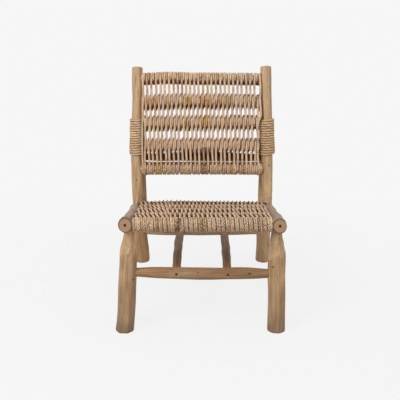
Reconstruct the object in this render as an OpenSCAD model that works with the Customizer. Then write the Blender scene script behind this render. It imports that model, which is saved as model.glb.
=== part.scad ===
// Low lounge chair of round teak branches, with a rope seat and a rope back.
// X runs across the chair, Y from front to rear and Z up. The feet stand on z = 0.

/* [Side rails] */
// Distance from the centre plane to a side rail at its front end
rail_front_x = 242; // [215:1:280]
// Height of a side rail's axis at its front end
rail_front_z = 380; // [350:1:420]
// Height at which a side rail's axis meets the rear leg
rail_rear_z = 267; // [230:1:300]
// Length of side rail that stands ahead of the front leg's axis
rail_overhang = 44; // [38:1:70]
// Diameter of a side rail at its front end
rail_front_d = 48; // [44:0.5:54]
// Diameter of a side rail at the rear leg
rail_rear_d = 39; // [35:0.5:42]
// Bevel round the front end of a side rail
rail_bevel = 2; // [1:0.5:4]
// Diameter of the pith hole in the front end of a side rail
pith_d = 5; // [3:0.5:7]
// Depth of the pith hole
pith_depth = 12; // [6:1:20]

/* [Front legs] */
// Distance from the centre plane to the left foot, which the bent leg throws outward
front_foot_left_x = 258.6; // [245:0.2:275]
// Distance from the centre plane to the right foot
front_foot_right_x = 247.2; // [235:0.2:265]
// Diameter of a front leg
front_leg_d = 59; // [50:0.5:64]
// Height at which a front leg starts to narrow towards the rail
front_leg_shoulder_z = 267; // [240:1:285]
// Diameter of the neck under the rail
front_leg_neck_d = 35; // [28:0.5:38]
// Height over which the left leg's bend straightens
left_bend_h = 300; // [240:5:330]

/* [Rear legs] */
// Distance from the centre plane to a rear foot
rear_foot_x = 251; // [235:1:275]
// Distance from the centre plane to a rear leg's top
rear_top_x = 245; // [230:1:260]
// Distance from the front leg's axis back to a rear foot
rear_foot_y = 636; // [620:1:660]
// Forward lean of a rear leg, in degrees
rear_leg_lean = 13.6; // [12.5:0.1:14.5]
// Height of a rear leg's cut top
rear_leg_top_z = 550; // [536:1:556]
// Diameter of a rear leg at the foot
rear_foot_d = 60; // [50:0.5:64]
// Diameter of a rear leg at its top
rear_leg_top_d = 36; // [32:0.5:37]
// How far up a rear leg keeps its thickness: 1 narrows evenly, and more keeps it thick for longer
rear_leg_fullness = 1.6; // [1:0.1:2]

/* [Back posts] */
// Distance from the front leg's axis back to the post's root in the side rail
post_root_y = 414; // [408:1:424]
// Backward lean of a post, in degrees
post_lean = 18.2; // [17:0.1:19.5]
// Height of a post's top
post_top_z = 806; // [796:1:840]
// Distance from the centre plane to a post's top
post_top_x = 243; // [236:1:255]
// Diameter of a post at the rail
post_neck_d = 28.6; // [26:0.2:34]
// Diameter of a post over its main length
post_d = 41; // [38:0.5:44]
// Length of the narrowing at the bottom of a post
post_neck_len = 120; // [80:5:130]
// Bevel round the top of a post
post_bevel = 2; // [1:0.5:4]

/* [Stretchers and braces] */
// Height of the front stretcher
front_stretcher_z = 202; // [150:1:240]
// Height of the rear stretcher
rear_stretcher_z = 139.5; // [100:0.5:200]
// Diameter at the middle of the front stretcher
front_stretcher_mid_d = 40; // [34:0.5:44]
// Diameter at the ends of the front stretcher
front_stretcher_end_d = 29; // [25:0.5:33]
// Diameter at the middle of the rear stretcher
rear_stretcher_mid_d = 34; // [32:0.5:40]
// Diameter at the ends of the rear stretcher
rear_stretcher_end_d = 28; // [25:0.5:31]
// Diameter of the crossbar behind the back
crossbar_d = 32; // [26:0.5:34]
// Distance from the crossbar up to the lashings
crossbar_gap = 2.5; // [1:0.5:10]
// Diameter of a brace
brace_d = 29; // [22:0.5:30]
// Distance from the centre plane to the front end of a brace
brace_front_x = 83.5; // [60:0.5:120]
// Distance from the centre plane to the rear end of a brace
brace_rear_x = 88; // [60:0.5:120]
// Outward bow of a brace at its middle
brace_bow = 3.5; // [0:0.5:12]

/* [Screws] */
// Diameter of a screw's shank
screw_d = 4.4; // [3.5:0.1:5]
// Diameter of a screw's head
screw_head_d = 8.4; // [7:0.1:9.5]
// Thickness of a screw's head
screw_head_h = 3.2; // [2:0.1:4]
// Depth of a screw's head below the surface
screw_sink = 3; // [1.5:0.1:5]
// Length of screw in the end of a brace
screw_bite = 34; // [20:1:45]

/* [Seat] */
// Height of the rope over the front rail
seat_front_top = 403; // [398:0.5:406]
// Height of the rope over the rear rail
seat_rear_top = 333; // [328:0.5:335]
// Distance from the front leg's axis forward to the front seat rail
seat_front_set = 22; // [21:0.5:26]
// Distance back to the first seat rod
seat_rod_front_y = 88; // [80:1:110]
// Distance back to the middle seat rod
seat_rod_middle_y = 203; // [190:1:225]
// Distance back to the last seat rod
seat_rod_rear_y = 312; // [295:1:320]
// Distance back to the rear seat rail
seat_rear_y = 388; // [376:1:391]
// Diameter of the front seat rail
seat_front_d = 31; // [28:0.5:34]
// Diameter of the three seat rods
seat_rod_d = 28; // [26:0.5:31]
// Diameter of the rear seat rail
seat_rear_d = 34; // [31:0.5:36]

/* [Back] */
// Distance from a post's top down to the top back rail
back_top_drop = 45; // [35:1:52]
// How far the upper back rod lies above an even spacing of the back rods
back_upper_shift = -6.125; // [-8.125:0.125:3.875]
// How far the middle back rod lies above that spacing
back_middle_shift = -2.25; // [-7.25:0.25:-0.25]
// How far the lower back rod lies above that spacing
back_lower_shift = 0.125; // [-4.375:0.125:7.625]
// Height of the bottom back rail
back_bottom_z = 437.5; // [434:0.5:444]
// Diameter of the top back rail
back_top_d = 32.5; // [24:0.5:34]
// Diameter of the upper back rod
back_upper_d = 38; // [33:0.5:39]
// Diameter of the middle back rod
back_middle_d = 34.5; // [30:0.5:36]
// Diameter of the lower back rod
back_lower_d = 29; // [24:0.5:31]
// Diameter of the bottom back rail
back_bottom_d = 36.5; // [31:0.5:38]

/* [Rope] */
// Diameter of the rope
rope_d = 8; // [7:0.1:8.3]
// Spacing of the rope strands across the seat
seat_pitch = 15; // [13:0.5:24]
// Spacing of the rope strands across the back
back_pitch = 16; // [13:0.5:24]
// Layers of rope round each of the three middle back rods
back_layers = 2; // [1:1:2]
// Turns of rope in each lashing
lashing_turns = 15; // [10:1:16]
// Distance from a rear leg's top down to the lowest edge of its lashing
lashing_drop = 66; // [58:0.5:66]
// Rise of a lashing from one turn to the next
lashing_pitch = 8.8; // [8.7:0.1:9.6]
// Clearance between rope and wood
rope_gap = 0.3; // [0.2:0.05:0.4]

/* [Joints] */
// Diameter of the tenons at the ends of the stretchers, side rails and front legs
frame_tenon_d = 22; // [18:0.5:24]
// Diameter of the tenon at the foot of each post
post_tenon_d = 20; // [16:0.5:22]
// Diameter of the tenons of the seat rails and the back rails
rod_tenon_d = 16; // [12:0.5:17]
// Depth of each tenon in the piece that it enters
tenon_depth = 22; // [16:0.5:24]
// Clearance round each tenon and at each fitted face
fit = 0.15; // [0.1:0.05:0.25]

/* [Hidden] */
RIGHT = 1;
LEFT = -1;
rope_r = rope_d / 2;
post_r = post_d / 2;
rear_top_r = rear_leg_top_d / 2;
cut_size = rear_foot_y / 3;   // side of the blocks that trim feet and tops
run_out = 10;            // length that a log runs past a trimming plane
neck_reach = 0.4;        // where an untrimmed neck ends in the rail, as a share of the rail's radius
tenon_step = 2;          // least shoulder of a rod round its tenon
weave_end_gap = 1.2;     // clearance between the end of a wound rod and the wood beside it
log_fn = 48;
leg_steps = 8;           // cones that make up a rear leg
rope_fn = 20;
bent_sides = 28;         // sides of a bent log
brace_sides = 20;
brace_rings = 8;
tube_sides = 6;          // sides of the lashing rope
rings_per_turn = 24;
near_rings = 3;          // rings looked at on either side, for the least gap between turns

light_teak = [0.75, 0.63, 0.47];
grey_teak = [0.66, 0.55, 0.42];
brown_teak = [0.63, 0.49, 0.36];
dark_teak = [0.50, 0.40, 0.30];
rope_tan = [0.77, 0.65, 0.52];
steel_grey = [0.45, 0.44, 0.42];

// Small vector helpers
function lerp(a, b, t) = a + (b - a) * t;
function unit(v) = v / norm(v);
// Point of the line from a to b at a given y or z
function at_y(a, b, y) = lerp(a, b, (y - a.y) / (b.y - a.y));
function at_z(a, b, z) = lerp(a, b, (z - a.z) / (b.z - a.z));

// Axes of the main logs, on one side of the chair
function rear_leg_at(side, z) = [
    side * lerp(rear_foot_x, rear_top_x, z / rear_leg_top_z),
    rear_foot_y - z * tan(rear_leg_lean),
    z
];
function rear_leg_r(z) =
    lerp(rear_foot_d, rear_leg_top_d, pow(max(z, 0) / rear_leg_top_z, rear_leg_fullness)) / 2;
function rail_front(side) = [side * rail_front_x, -rail_overhang, rail_front_z];
function rail_rear(side) = rear_leg_at(side, rail_rear_z);
function rail_at(side, y) = at_y(rail_front(side), rail_rear(side), y);
function rail_r(y) =
    lerp(rail_front_d, rail_rear_d, (y + rail_overhang) / (rail_rear(RIGHT).y + rail_overhang)) / 2;
function post_root(side) = rail_at(side, post_root_y);
function post_top(side) = [
    side * post_top_x,
    post_root_y + (post_top_z - post_root(side).z) * tan(post_lean),
    post_top_z
];
function post_at(side, z) = at_z(post_root(side), post_top(side), z);
function front_foot(side) = [side == LEFT ? -front_foot_left_x : front_foot_right_x, 0, 0];

// Heights that follow from the tops of the rear legs and of the posts
lashing_bottom_z = rear_leg_top_z - lashing_drop;
crossbar_z = lashing_bottom_z - crossbar_gap - crossbar_d / 2;
back_top_z = post_top_z - back_top_drop;
back_spacing = (back_top_z - back_bottom_z) / 4;
back_lower_z = back_bottom_z + back_spacing + back_lower_shift;
back_middle_z = back_bottom_z + 2 * back_spacing + back_middle_shift;
back_upper_z = back_bottom_z + 3 * back_spacing + back_upper_shift;

// The origin is under the middle of the whole chair
rail_slope = atan2(rail_front_z - rail_rear_z, rail_rear(RIGHT).y + rail_overhang);
x_low = -front_foot_left_x - front_leg_d / 2;
x_high = max(
    rear_foot_x + rear_foot_d / 2,
    front_foot_right_x + front_leg_d / 2,
    post_root(RIGHT).x + post_r + rope_gap + rope_d
);
y_low = -rail_overhang - (rail_front_d / 2 - rail_bevel) * sin(rail_slope);
y_high = rear_foot_y + rear_foot_d / 2 / cos(rear_leg_lean);
origin = [(x_low + x_high) / 2, (y_low + y_high) / 2, 0];

// Seat rods and back rods, each as [y, z, diameter, layers of rope]
function seat_line(y) =
    lerp(seat_front_top, seat_rear_top, (y + seat_front_set) / (seat_rear_y + seat_front_set));
function seat_rod(y, d) = [y, seat_line(y) - rope_d - d / 2, d, 1];
function back_rod(z, d, layers) = [post_at(RIGHT, z).y, z, d, layers];
seat_front = seat_rod(-seat_front_set, seat_front_d);
seat_rod_1 = seat_rod(seat_rod_front_y, seat_rod_d);
seat_rod_2 = seat_rod(seat_rod_middle_y, seat_rod_d);
seat_rod_3 = seat_rod(seat_rod_rear_y, seat_rod_d);
seat_rear = seat_rod(seat_rear_y, seat_rear_d);
seat_rods = [seat_front, seat_rod_1, seat_rod_2, seat_rod_3, seat_rear];
back_top = back_rod(back_top_z, back_top_d, 1);
back_upper = back_rod(back_upper_z, back_upper_d, back_layers);
back_middle = back_rod(back_middle_z, back_middle_d, back_layers);
back_lower = back_rod(back_lower_z, back_lower_d, back_layers);
back_bottom = back_rod(back_bottom_z, back_bottom_d, 1);
back_rods = [back_bottom, back_lower, back_middle, back_upper, back_top];
back_tenoned = [back_bottom, back_upper, back_top];

// Radius of a rod with its rope
function wound_r(rod) = rod[2] / 2 + rope_gap + rod[3] * rope_d;

// A thin rod has a thinner tenon
function rod_tenon(rod) = min(rod_tenon_d, rod[2] - 2 * tenon_step);

// Half the free width at a seat rod, between the side rails
function seat_half(rod) = rail_at(RIGHT, rod[0]).x - rail_r(rod[0]);
// Half the free width at a back rod, between the posts or between the lashings
function is_lashed(rod) =
    rod[1] + wound_r(rod) > lashing_bottom_z
    && rod[1] - wound_r(rod) < lashing_bottom_z + lashing_turns * lashing_pitch + rope_d;
function back_half(rod) =
    post_at(RIGHT, rod[1]).x - post_r - (is_lashed(rod) ? rope_gap + rope_d : 0);

// Places its children with their +Z along the line from a to b
module along(a, b) {
    d = b - a;
    translate(a)
        rotate([0, acos(d.z / norm(d)), atan2(d.y, d.x)])
            children();
}

// Places its children with their +Z along +X, at a point of the XZ plane of the chair
module across(y, z) {
    translate([0, y, z])
        rotate([0, 90, 0])
            children();
}

// Round log on +Z from a list of [height, radius]
module log(profile) {
    last = len(profile) - 1;
    rotate_extrude($fn = log_fn)
        polygon(concat(
            [[0, profile[0][0]]],
            [for (p = profile) [p[1], p[0]]],
            [[0, profile[last][0]]]
        ));
}

// Ring of points round p, square to direction t, with its first point near direction ref
function ring(p, t, ref, r, sides) =
    let (u = unit(cross(cross(t, ref), t)), v = cross(t, u))
    [for (k = [0:sides - 1]) let (a = 360 * k / sides) p + r * (cos(a) * u + sin(a) * v)];

// Direction of a path of points at point i
function heading(path, i) =
    unit(path[min(i + 1, len(path) - 1)] - path[max(i - 1, 0)]);

// Bent round bar through the points of a path, with one radius for each point
module bent_bar(path, radii, sides, ref) {
    rings = len(path);
    points = [for (i = [0:rings - 1]) each ring(path[i], heading(path, i), ref, radii[i], sides)];
    walls = [
        for (i = [0:rings - 2], k = [0:sides - 1])
            let (a = i * sides + k, b = i * sides + (k + 1) % sides)
            each [[a, a + sides, b], [b, a + sides, b + sides]]
    ];
    first = [for (k = [1:sides - 2]) [0, k, k + 1]];
    top = (rings - 1) * sides;
    final = [for (k = [1:sides - 2]) [top, top + k + 1, top + k]];
    polyhedron(points = points, faces = concat(walls, first, final));
}

// Block that takes away everything below the floor
module below_floor() {
    translate([-2 * cut_size, -2 * cut_size, -cut_size])
        cube([4 * cut_size, 6 * cut_size, cut_size]);
}

// Bodies of the main logs, each made larger by a clearance where it cuts another
module rail_body(side, grow) {
    a = rail_front(side);
    b = rail_rear(side);
    length = norm(b - a);
    front_r = rail_front_d / 2 + grow;
    along(a, b)
        log([
            [-grow, front_r - rail_bevel],
            [rail_bevel, front_r],
            [length, rail_rear_d / 2 + grow]
        ]);
}

module rear_leg_body(side, grow) {
    low = rear_leg_at(side, -run_out);
    high = rear_leg_at(side, rear_leg_top_z + run_out);
    along(low, high)
        log([
            for (i = [0:leg_steps])
                let (t = i / leg_steps)
                [t * norm(high - low), rear_leg_r(lerp(low.z, high.z, t)) + grow]
        ]);
}

// Tenon or its mortise: a round bar of diameter d on the line from a to b, between two distances
module bar_between(a, b, from, to, d) {
    along(a, b)
        translate([0, 0, from])
            cylinder(h = to - from, d = d, $fn = log_fn);
}

// The bent left leg is upright at its top, so its tenon is too
module front_leg_tenon(side, slack) {
    top = rail_at(side, 0);
    foot = side == LEFT ? [top.x, 0, 0] : front_foot(RIGHT);
    length = norm(top - foot);
    bar_between(foot, top, length - 2 * tenon_depth, length + slack, frame_tenon_d + 2 * slack);
}

module post_tenon(side, slack) {
    bar_between(post_root(side), post_top(side), -slack, 2 * tenon_depth, post_tenon_d + 2 * slack);
}

module rail_tenon(side, slack) {
    length = norm(rail_rear(side) - rail_front(side));
    bar_between(
        rail_front(side), rail_rear(side),
        length - 2 * tenon_depth, length + slack, frame_tenon_d + 2 * slack
    );
}

// Mortise across a log at height z and depth y, from its inner face at half width x
module cross_mortise(side, x, y, z, d) {
    across(y, z)
        translate([0, 0, side == RIGHT ? x - tenon_depth : -x - tenon_depth - fit])
            cylinder(h = 2 * tenon_depth + fit, d = d + 2 * fit, $fn = log_fn);
}

// Half lengths between the legs
function front_leg_inner(side) =
    (side == RIGHT ? right_leg_x(front_stretcher_z) : -left_leg_x(front_stretcher_z)) - front_leg_d / 2;
function rear_leg_inner(z) = rear_leg_at(RIGHT, z).x - rear_leg_r(z);

// The right leg's axis is straight, and the left leg's swings outward to the foot
function right_leg_x(z) = lerp(front_foot_right_x, rail_at(RIGHT, 0).x, z / rail_at(RIGHT, 0).z);
function left_leg_x(z) =
    rail_at(LEFT, 0).x
    - (front_foot_left_x + rail_at(LEFT, 0).x) * pow(max(0, 1 - z / left_bend_h), 2);

module front_leg_left() {
    color(grey_teak) {
        top = rail_at(LEFT, 0);
        neck_z = top.z - rail_r(0);
        end_z = top.z - rail_r(0) * neck_reach;
        low_steps = [for (t = [0:1 / 8:1]) t * front_leg_shoulder_z];
        heights = concat([-run_out], low_steps, [lerp(front_leg_shoulder_z, neck_z, 0.5), neck_z, end_z]);
        neck_r = front_leg_neck_d / 2;
        radii = [
            for (z = heights)
                z <= front_leg_shoulder_z
                    ? front_leg_d / 2
                    : z >= neck_z ? neck_r : lerp(front_leg_d / 2, neck_r, 0.5)
        ];
        difference() {
            union() {
                difference() {
                    bent_bar(
                        [for (z = heights) [left_leg_x(max(z, 0)), 0, z]],
                        radii, bent_sides, [1, 0, 0]
                    );
                    rail_body(LEFT, fit);
                }
                front_leg_tenon(LEFT, 0);
            }
            below_floor();
            cross_mortise(LEFT, front_leg_inner(LEFT), 0, front_stretcher_z, frame_tenon_d);
        }
    }
}

module front_leg_right() {
    color(grey_teak) {
        foot = front_foot(RIGHT);
        top = rail_at(RIGHT, 0);
        length = norm(top - foot);
        difference() {
            union() {
                difference() {
                    along(foot, top)
                        log([
                            [-run_out, front_leg_d / 2],
                            [front_leg_shoulder_z, front_leg_d / 2],
                            [length - rail_r(0), front_leg_neck_d / 2],
                            [length - rail_r(0) * neck_reach, front_leg_neck_d / 2]
                        ]);
                    rail_body(RIGHT, fit);
                }
                front_leg_tenon(RIGHT, 0);
            }
            below_floor();
            cross_mortise(RIGHT, front_leg_inner(RIGHT), 0, front_stretcher_z, frame_tenon_d);
        }
    }
}

// Space that a post takes, and all that lies ahead of it, for the bevel of a rear leg's top
module post_clearance(side) {
    length = norm(post_top(side) - post_root(side));
    along(post_root(side), post_top(side)) {
        cylinder(h = length, r = post_r + fit, $fn = log_fn);
        translate([-cut_size, -cut_size / 2, 0])
            cube([cut_size, cut_size, length]);
    }
}

module rear_leg(side) {
    color(brown_teak)
        difference() {
            rear_leg_body(side, 0);
            below_floor();
            translate(rear_leg_at(side, rear_leg_top_z) - [cut_size / 2, cut_size / 2, 0])
                cube(cut_size);
            post_clearance(side);
            rail_tenon(side, fit);
            cross_mortise(
                side, rear_leg_inner(rear_stretcher_z), rear_leg_at(side, rear_stretcher_z).y,
                rear_stretcher_z, frame_tenon_d
            );
            cross_mortise(
                side, rear_leg_inner(crossbar_z), rear_leg_at(side, crossbar_z).y,
                crossbar_z, rod_tenon_d
            );
        }
}

module side_rail(side) {
    color(light_teak)
        difference() {
            union() {
                difference() {
                    rail_body(side, 0);
                    rear_leg_body(side, fit);
                }
                rail_tenon(side, 0);
            }
            front_leg_tenon(side, fit);
            post_tenon(side, fit);
            for (rod = seat_rods)
                cross_mortise(side, seat_half(rod), rod[0], rod[1], rod_tenon_d);
            along(rail_front(side), rail_rear(side))
                translate([0, 0, -rail_bevel])
                    cylinder(h = pith_depth + rail_bevel, d = pith_d, $fn = log_fn);
        }
}

module back_post(side) {
    color(light_teak) {
        root = post_root(side);
        top = post_top(side);
        length = norm(top - root);
        neck_start = rail_r(post_root_y) * neck_reach;
        neck_r = post_neck_d / 2;
        difference() {
            union() {
                difference() {
                    along(root, top)
                        log([
                            [neck_start, neck_r],
                            [rail_r(post_root_y), neck_r],
                            [rail_r(post_root_y) + post_neck_len, post_r],
                            [length - post_bevel, post_r],
                            [length, post_r - post_bevel]
                        ]);
                    rail_body(side, fit);
                }
                post_tenon(side, 0);
            }
            for (rod = back_tenoned)
                cross_mortise(side, back_half(rod), rod[0], rod[1], rod_tenon(rod));
        }
    }
}

// Round bar across the chair, with a swelling middle and a tenon at each end
module cross_bar(left, right, y, z, mid_d, end_d, tenon_d) {
    steps = 8;
    body = [
        for (i = [0:steps])
            let (t = 2 * i / steps - 1)
            [lerp(-left, right, i / steps), lerp(mid_d, end_d, t * t) / 2]
    ];
    across(y, z)
        log(concat(
            [[-left - tenon_depth, tenon_d / 2], [-left, tenon_d / 2]],
            body,
            [[right, tenon_d / 2], [right + tenon_depth, tenon_d / 2]]
        ));
}

// Plain round rod between two faces, with a tenon at each end
module plain_rod(half, rod, tenon_d) {
    across(rod[0], rod[1])
        log([
            [-half - tenon_depth, tenon_d / 2],
            [-half, tenon_d / 2],
            [-half, rod[2] / 2],
            [half, rod[2] / 2],
            [half, tenon_d / 2],
            [half + tenon_depth, tenon_d / 2]
        ]);
}

// Ends of the braces on the axes of the two stretchers
function brace_front(side) = [side * brace_front_x, 0, front_stretcher_z];
function brace_rear(side) = [side * brace_rear_x, rear_leg_at(side, rear_stretcher_z).y, rear_stretcher_z];
// Radius of each stretcher where a brace meets it
function bar_r(mid_d, end_d, x, half) = lerp(mid_d, end_d, pow(x / half, 2)) / 2;
front_hold_r = bar_r(
    front_stretcher_mid_d, front_stretcher_end_d, brace_front_x, front_leg_inner(RIGHT)
);
rear_hold_r = bar_r(
    rear_stretcher_mid_d, rear_stretcher_end_d, brace_rear_x, rear_leg_inner(rear_stretcher_z)
);

// Screw through a stretcher into the end of a brace, or the hole for it
module brace_screw(from, to, hold_r, slack, out) {
    head = -hold_r + screw_sink;
    along(from, to) {
        translate([0, 0, head - out])
            cylinder(h = screw_head_h + out, d = screw_head_d + 2 * slack, $fn = log_fn);
        translate([0, 0, head + screw_head_h / 2])
            cylinder(
                h = 2 * hold_r - screw_sink - screw_head_h / 2 + screw_bite + slack,
                d = screw_d + 2 * slack, $fn = log_fn
            );
    }
}

module brace(side) {
    color(dark_teak) {
        a = brace_front(side);
        b = brace_rear(side);
        path = [
            for (i = [0:brace_rings])
                let (t = i / brace_rings)
                lerp(a, b, t) + [side * brace_bow * 4 * t * (1 - t), 0, 0]
        ];
        difference() {
            bent_bar(path, [for (p = path) brace_d / 2], brace_sides, [0, 0, 1]);
            across(a.y, a.z)
                cylinder(h = cut_size * 2, r = front_hold_r + 2 * fit, center = true, $fn = log_fn);
            across(b.y, b.z)
                cylinder(h = cut_size * 2, r = rear_hold_r + 2 * fit, center = true, $fn = log_fn);
            brace_screw(a, b, front_hold_r, fit, 0);
            brace_screw(b, a, rear_hold_r, fit, 0);
        }
    }
}

module front_stretcher() {
    color(brown_teak)
        difference() {
            cross_bar(
                front_leg_inner(LEFT), front_leg_inner(RIGHT), 0, front_stretcher_z,
                front_stretcher_mid_d, front_stretcher_end_d, frame_tenon_d
            );
            for (side = [LEFT, RIGHT])
                brace_screw(brace_front(side), brace_rear(side), front_hold_r, fit, front_hold_r);
        }
}

module rear_stretcher() {
    half = rear_leg_inner(rear_stretcher_z);
    color(dark_teak)
        difference() {
            cross_bar(
                half, half, brace_rear(RIGHT).y, rear_stretcher_z,
                rear_stretcher_mid_d, rear_stretcher_end_d, frame_tenon_d
            );
            for (side = [LEFT, RIGHT])
                brace_screw(brace_rear(side), brace_front(side), rear_hold_r, fit, rear_hold_r);
        }
}

module back_crossbar() {
    color(dark_teak)
        plain_rod(
            rear_leg_inner(crossbar_z),
            [rear_leg_at(RIGHT, crossbar_z).y, crossbar_z, crossbar_d],
            rod_tenon_d
        );
}

module front_brace_screws() {
    color(steel_grey)
        for (side = [LEFT, RIGHT])
            brace_screw(brace_front(side), brace_rear(side), front_hold_r, 0, 0);
}

module rear_brace_screws() {
    color(steel_grey)
        for (side = [LEFT, RIGHT])
            brace_screw(brace_rear(side), brace_front(side), rear_hold_r, 0, 0);
}

module seat_bar(rod) {
    color(light_teak)
        plain_rod(seat_half(rod) - fit, rod, rod_tenon_d);
}

module back_bar(rod) {
    color(light_teak)
        plain_rod(back_half(rod) - fit, rod, rod_tenon(rod));
}

// Rod that the weave holds, with its ends against the lashings
module loose_bar(rod) {
    half = back_half(rod) - rope_gap;
    color(light_teak)
        across(rod[0], rod[1])
            cylinder(h = 2 * half, d = rod[2], center = true, $fn = log_fn);
}

// Rope wound side by side along a rod, in one layer or two, as a sleeve
module sleeve(rod, half) {
    across(rod[0], rod[1])
        difference() {
            cylinder(h = 2 * half, r = wound_r(rod), center = true, $fn = log_fn);
            cylinder(h = 2 * half + run_out, r = rod[2] / 2 + rope_gap, center = true, $fn = log_fn);
        }
}

// Straight strands of rope from one sleeve to the next, on the face that is sat on or leant on
module strands(rod_a, rod_b, face, count, pitch) {
    a = [rod_a[0], rod_a[1]];
    b = [rod_b[0], rod_b[1]];
    run = unit(b - a);
    out = face * [-run.y, run.x];
    lift_a = wound_r(rod_a) - rope_d;
    lift_b = wound_r(rod_b) - rope_d;
    // Each strand ends in the middle of the sleeve's outer layer
    inset_a = sqrt(pow(lift_a + rope_r, 2) - pow(lift_a, 2));
    inset_b = sqrt(pow(lift_b + rope_r, 2) - pow(lift_b, 2));
    from = a + lift_a * out + inset_a * run;
    to = b + lift_b * out - inset_b * run;
    d = to - from;
    for (i = [0:count - 1])
        translate([(i - (count - 1) / 2) * pitch, from.x, from.y])
            rotate([-atan2(d.x, d.y), 0, 0])
                cylinder(h = norm(d), r = rope_r, $fn = rope_fn);
}

// Net of strands over a row of rods, with as many strands as the narrowest place holds
module weave(rods, halves, face, pitch) {
    count = 2 * floor((min(halves) - rope_r) / pitch) + 1;
    union() {
        for (i = [0:len(rods) - 1])
            sleeve(rods[i], halves[i]);
        for (i = [0:len(rods) - 2])
            strands(rods[i], rods[i + 1], face, count, pitch);
    }
}

module seat_weave() {
    color(rope_tan)
        weave(seat_rods, [for (rod = seat_rods) seat_half(rod) - weave_end_gap], 1, seat_pitch);
}

module back_weave() {
    color(rope_tan)
        weave(back_rods, [for (rod = back_rods) back_half(rod) - weave_end_gap / 2], 1, back_pitch);
}

// Point k of a lashing: round the post alone, or round the post and the rear leg behind it
function lashing_point(side, k) =
    let (
        turn = 360 * k / rings_per_turn,
        z = lashing_bottom_z + rope_r + lashing_pitch * k / rings_per_turn,
        post = post_at(side, z),
        leg = rear_leg_at(side, z),
        toward = [cos(turn), sin(turn)],
        reach = (leg.x - post.x) * toward.x + (leg.y - post.y) * toward.y,
        on_leg = z < rear_leg_top_z && reach + rear_leg_r(z) > post_r,
        middle = on_leg ? leg : post,
        wood_r = on_leg ? rear_leg_r(z) : post_r,
        lean = on_leg ? rear_leg_lean : post_lean,
        out = wood_r + rope_gap + rope_r
    )
    middle + [out * toward.x, out * toward.y / cos(lean), 0];

module lashing(side) {
    count = lashing_turns * rings_per_turn;
    path = [for (k = [0:count]) lashing_point(side, k)];
    least = min([
        for (i = [0:count - rings_per_turn + near_rings])
            for (j = [i + rings_per_turn - near_rings:min(count, i + rings_per_turn + near_rings)])
                norm(path[i] - path[j])
    ]) - rope_d;
    echo(str("least gap of the lashing to itself: ", least, " mm"));
    color(rope_tan)
        bent_bar(path, [for (p = path) rope_r], tube_sides, [0, 0, 1]);
}

module placed() {
    translate(-origin)
        children();
}

placed() front_leg_left();
placed() front_leg_right();
placed() rear_leg(LEFT);  // rear_leg_left
placed() rear_leg(RIGHT);  // rear_leg_right
placed() side_rail(LEFT);  // side_rail_left
placed() side_rail(RIGHT);  // side_rail_right
placed() back_post(LEFT);  // back_post_left
placed() back_post(RIGHT);  // back_post_right
placed() front_stretcher();
placed() rear_stretcher();
placed() back_crossbar();
placed() brace(LEFT);  // brace_left
placed() brace(RIGHT);  // brace_right
placed() front_brace_screws();
placed() rear_brace_screws();
placed() seat_bar(seat_front);  // seat_front_rail
placed() seat_bar(seat_rod_1);  // seat_rod_front
placed() seat_bar(seat_rod_2);  // seat_rod_middle
placed() seat_bar(seat_rod_3);  // seat_rod_rear
placed() seat_bar(seat_rear);  // seat_rear_rail
placed() back_bar(back_top);  // back_top_rail
placed() back_bar(back_upper);  // back_rod_upper
placed() loose_bar(back_middle);  // back_rod_middle
placed() loose_bar(back_lower);  // back_rod_lower
placed() back_bar(back_bottom);  // back_bottom_rail
placed() seat_weave();
placed() back_weave();
placed() lashing(LEFT);  // lashing_left
placed() lashing(RIGHT);  // lashing_right
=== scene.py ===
"""Looks of a low lounge chair: round teak branches, a rope seat, a rope back and rope lashings.

Lengths are in metres. The chair's own frame has x = 0 on its centre plane, y = 0 on the front legs' axes,
with y growing to the rear, and z = 0 on the floor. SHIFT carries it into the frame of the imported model.
"""
import math

import bpy
import numpy as np
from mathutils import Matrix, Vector


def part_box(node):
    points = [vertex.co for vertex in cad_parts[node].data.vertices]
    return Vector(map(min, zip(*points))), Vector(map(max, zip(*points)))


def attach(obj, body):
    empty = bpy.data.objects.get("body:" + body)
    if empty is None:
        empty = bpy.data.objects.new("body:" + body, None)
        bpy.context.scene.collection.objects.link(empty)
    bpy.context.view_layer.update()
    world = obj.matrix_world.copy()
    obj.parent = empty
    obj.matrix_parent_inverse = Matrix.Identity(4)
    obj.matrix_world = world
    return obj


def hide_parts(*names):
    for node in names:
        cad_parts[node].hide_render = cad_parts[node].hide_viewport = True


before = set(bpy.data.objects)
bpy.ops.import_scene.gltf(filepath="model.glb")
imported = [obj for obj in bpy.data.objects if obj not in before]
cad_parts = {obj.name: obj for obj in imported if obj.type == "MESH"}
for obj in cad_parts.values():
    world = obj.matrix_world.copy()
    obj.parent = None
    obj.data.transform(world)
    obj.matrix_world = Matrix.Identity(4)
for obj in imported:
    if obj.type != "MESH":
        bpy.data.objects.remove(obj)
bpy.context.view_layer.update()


def middle(node):
    low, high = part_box(node)
    return (low + high) / 2


SHIFT = np.array([middle("rear_stretcher").x, middle("front_stretcher").y, 0.0])
LEFT, RIGHT = -1, 1
SIDES = ((LEFT, "left"), (RIGHT, "right"))
TURN = 2 * math.pi

# Camera, from the photograph's perspective
CAMERA_AT = (0.0, -2.227, 1.122)
CAMERA_PITCH = 16.73
FOCAL_PX = 734.2
IMAGE_PX = 400
CENTRE_PX = 202.2
SENSOR_MM = 36.0

# Side rails: their front ends, their radii at the front and the rear, and the pith hole
RAIL_FRONT_Y = -0.044
RAIL_FRONT_X = {LEFT: 0.2418, RIGHT: 0.2446}
RAIL_FRONT_Z = {LEFT: 0.3816, RIGHT: 0.3798}
RAIL_RADII = (0.024, 0.0195)
PITH_R = 0.0027
PITH_DEPTH = 0.012
# Rear legs
REAR_FOOT = (0.251, 0.636)
REAR_LEAN = math.radians(13.6)
REAR_TOP_Z = 0.556
REAR_TOP_X, REAR_AXIS_TOP_Z = 0.245, 0.55
RAIL_REAR_Z = 0.267
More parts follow.
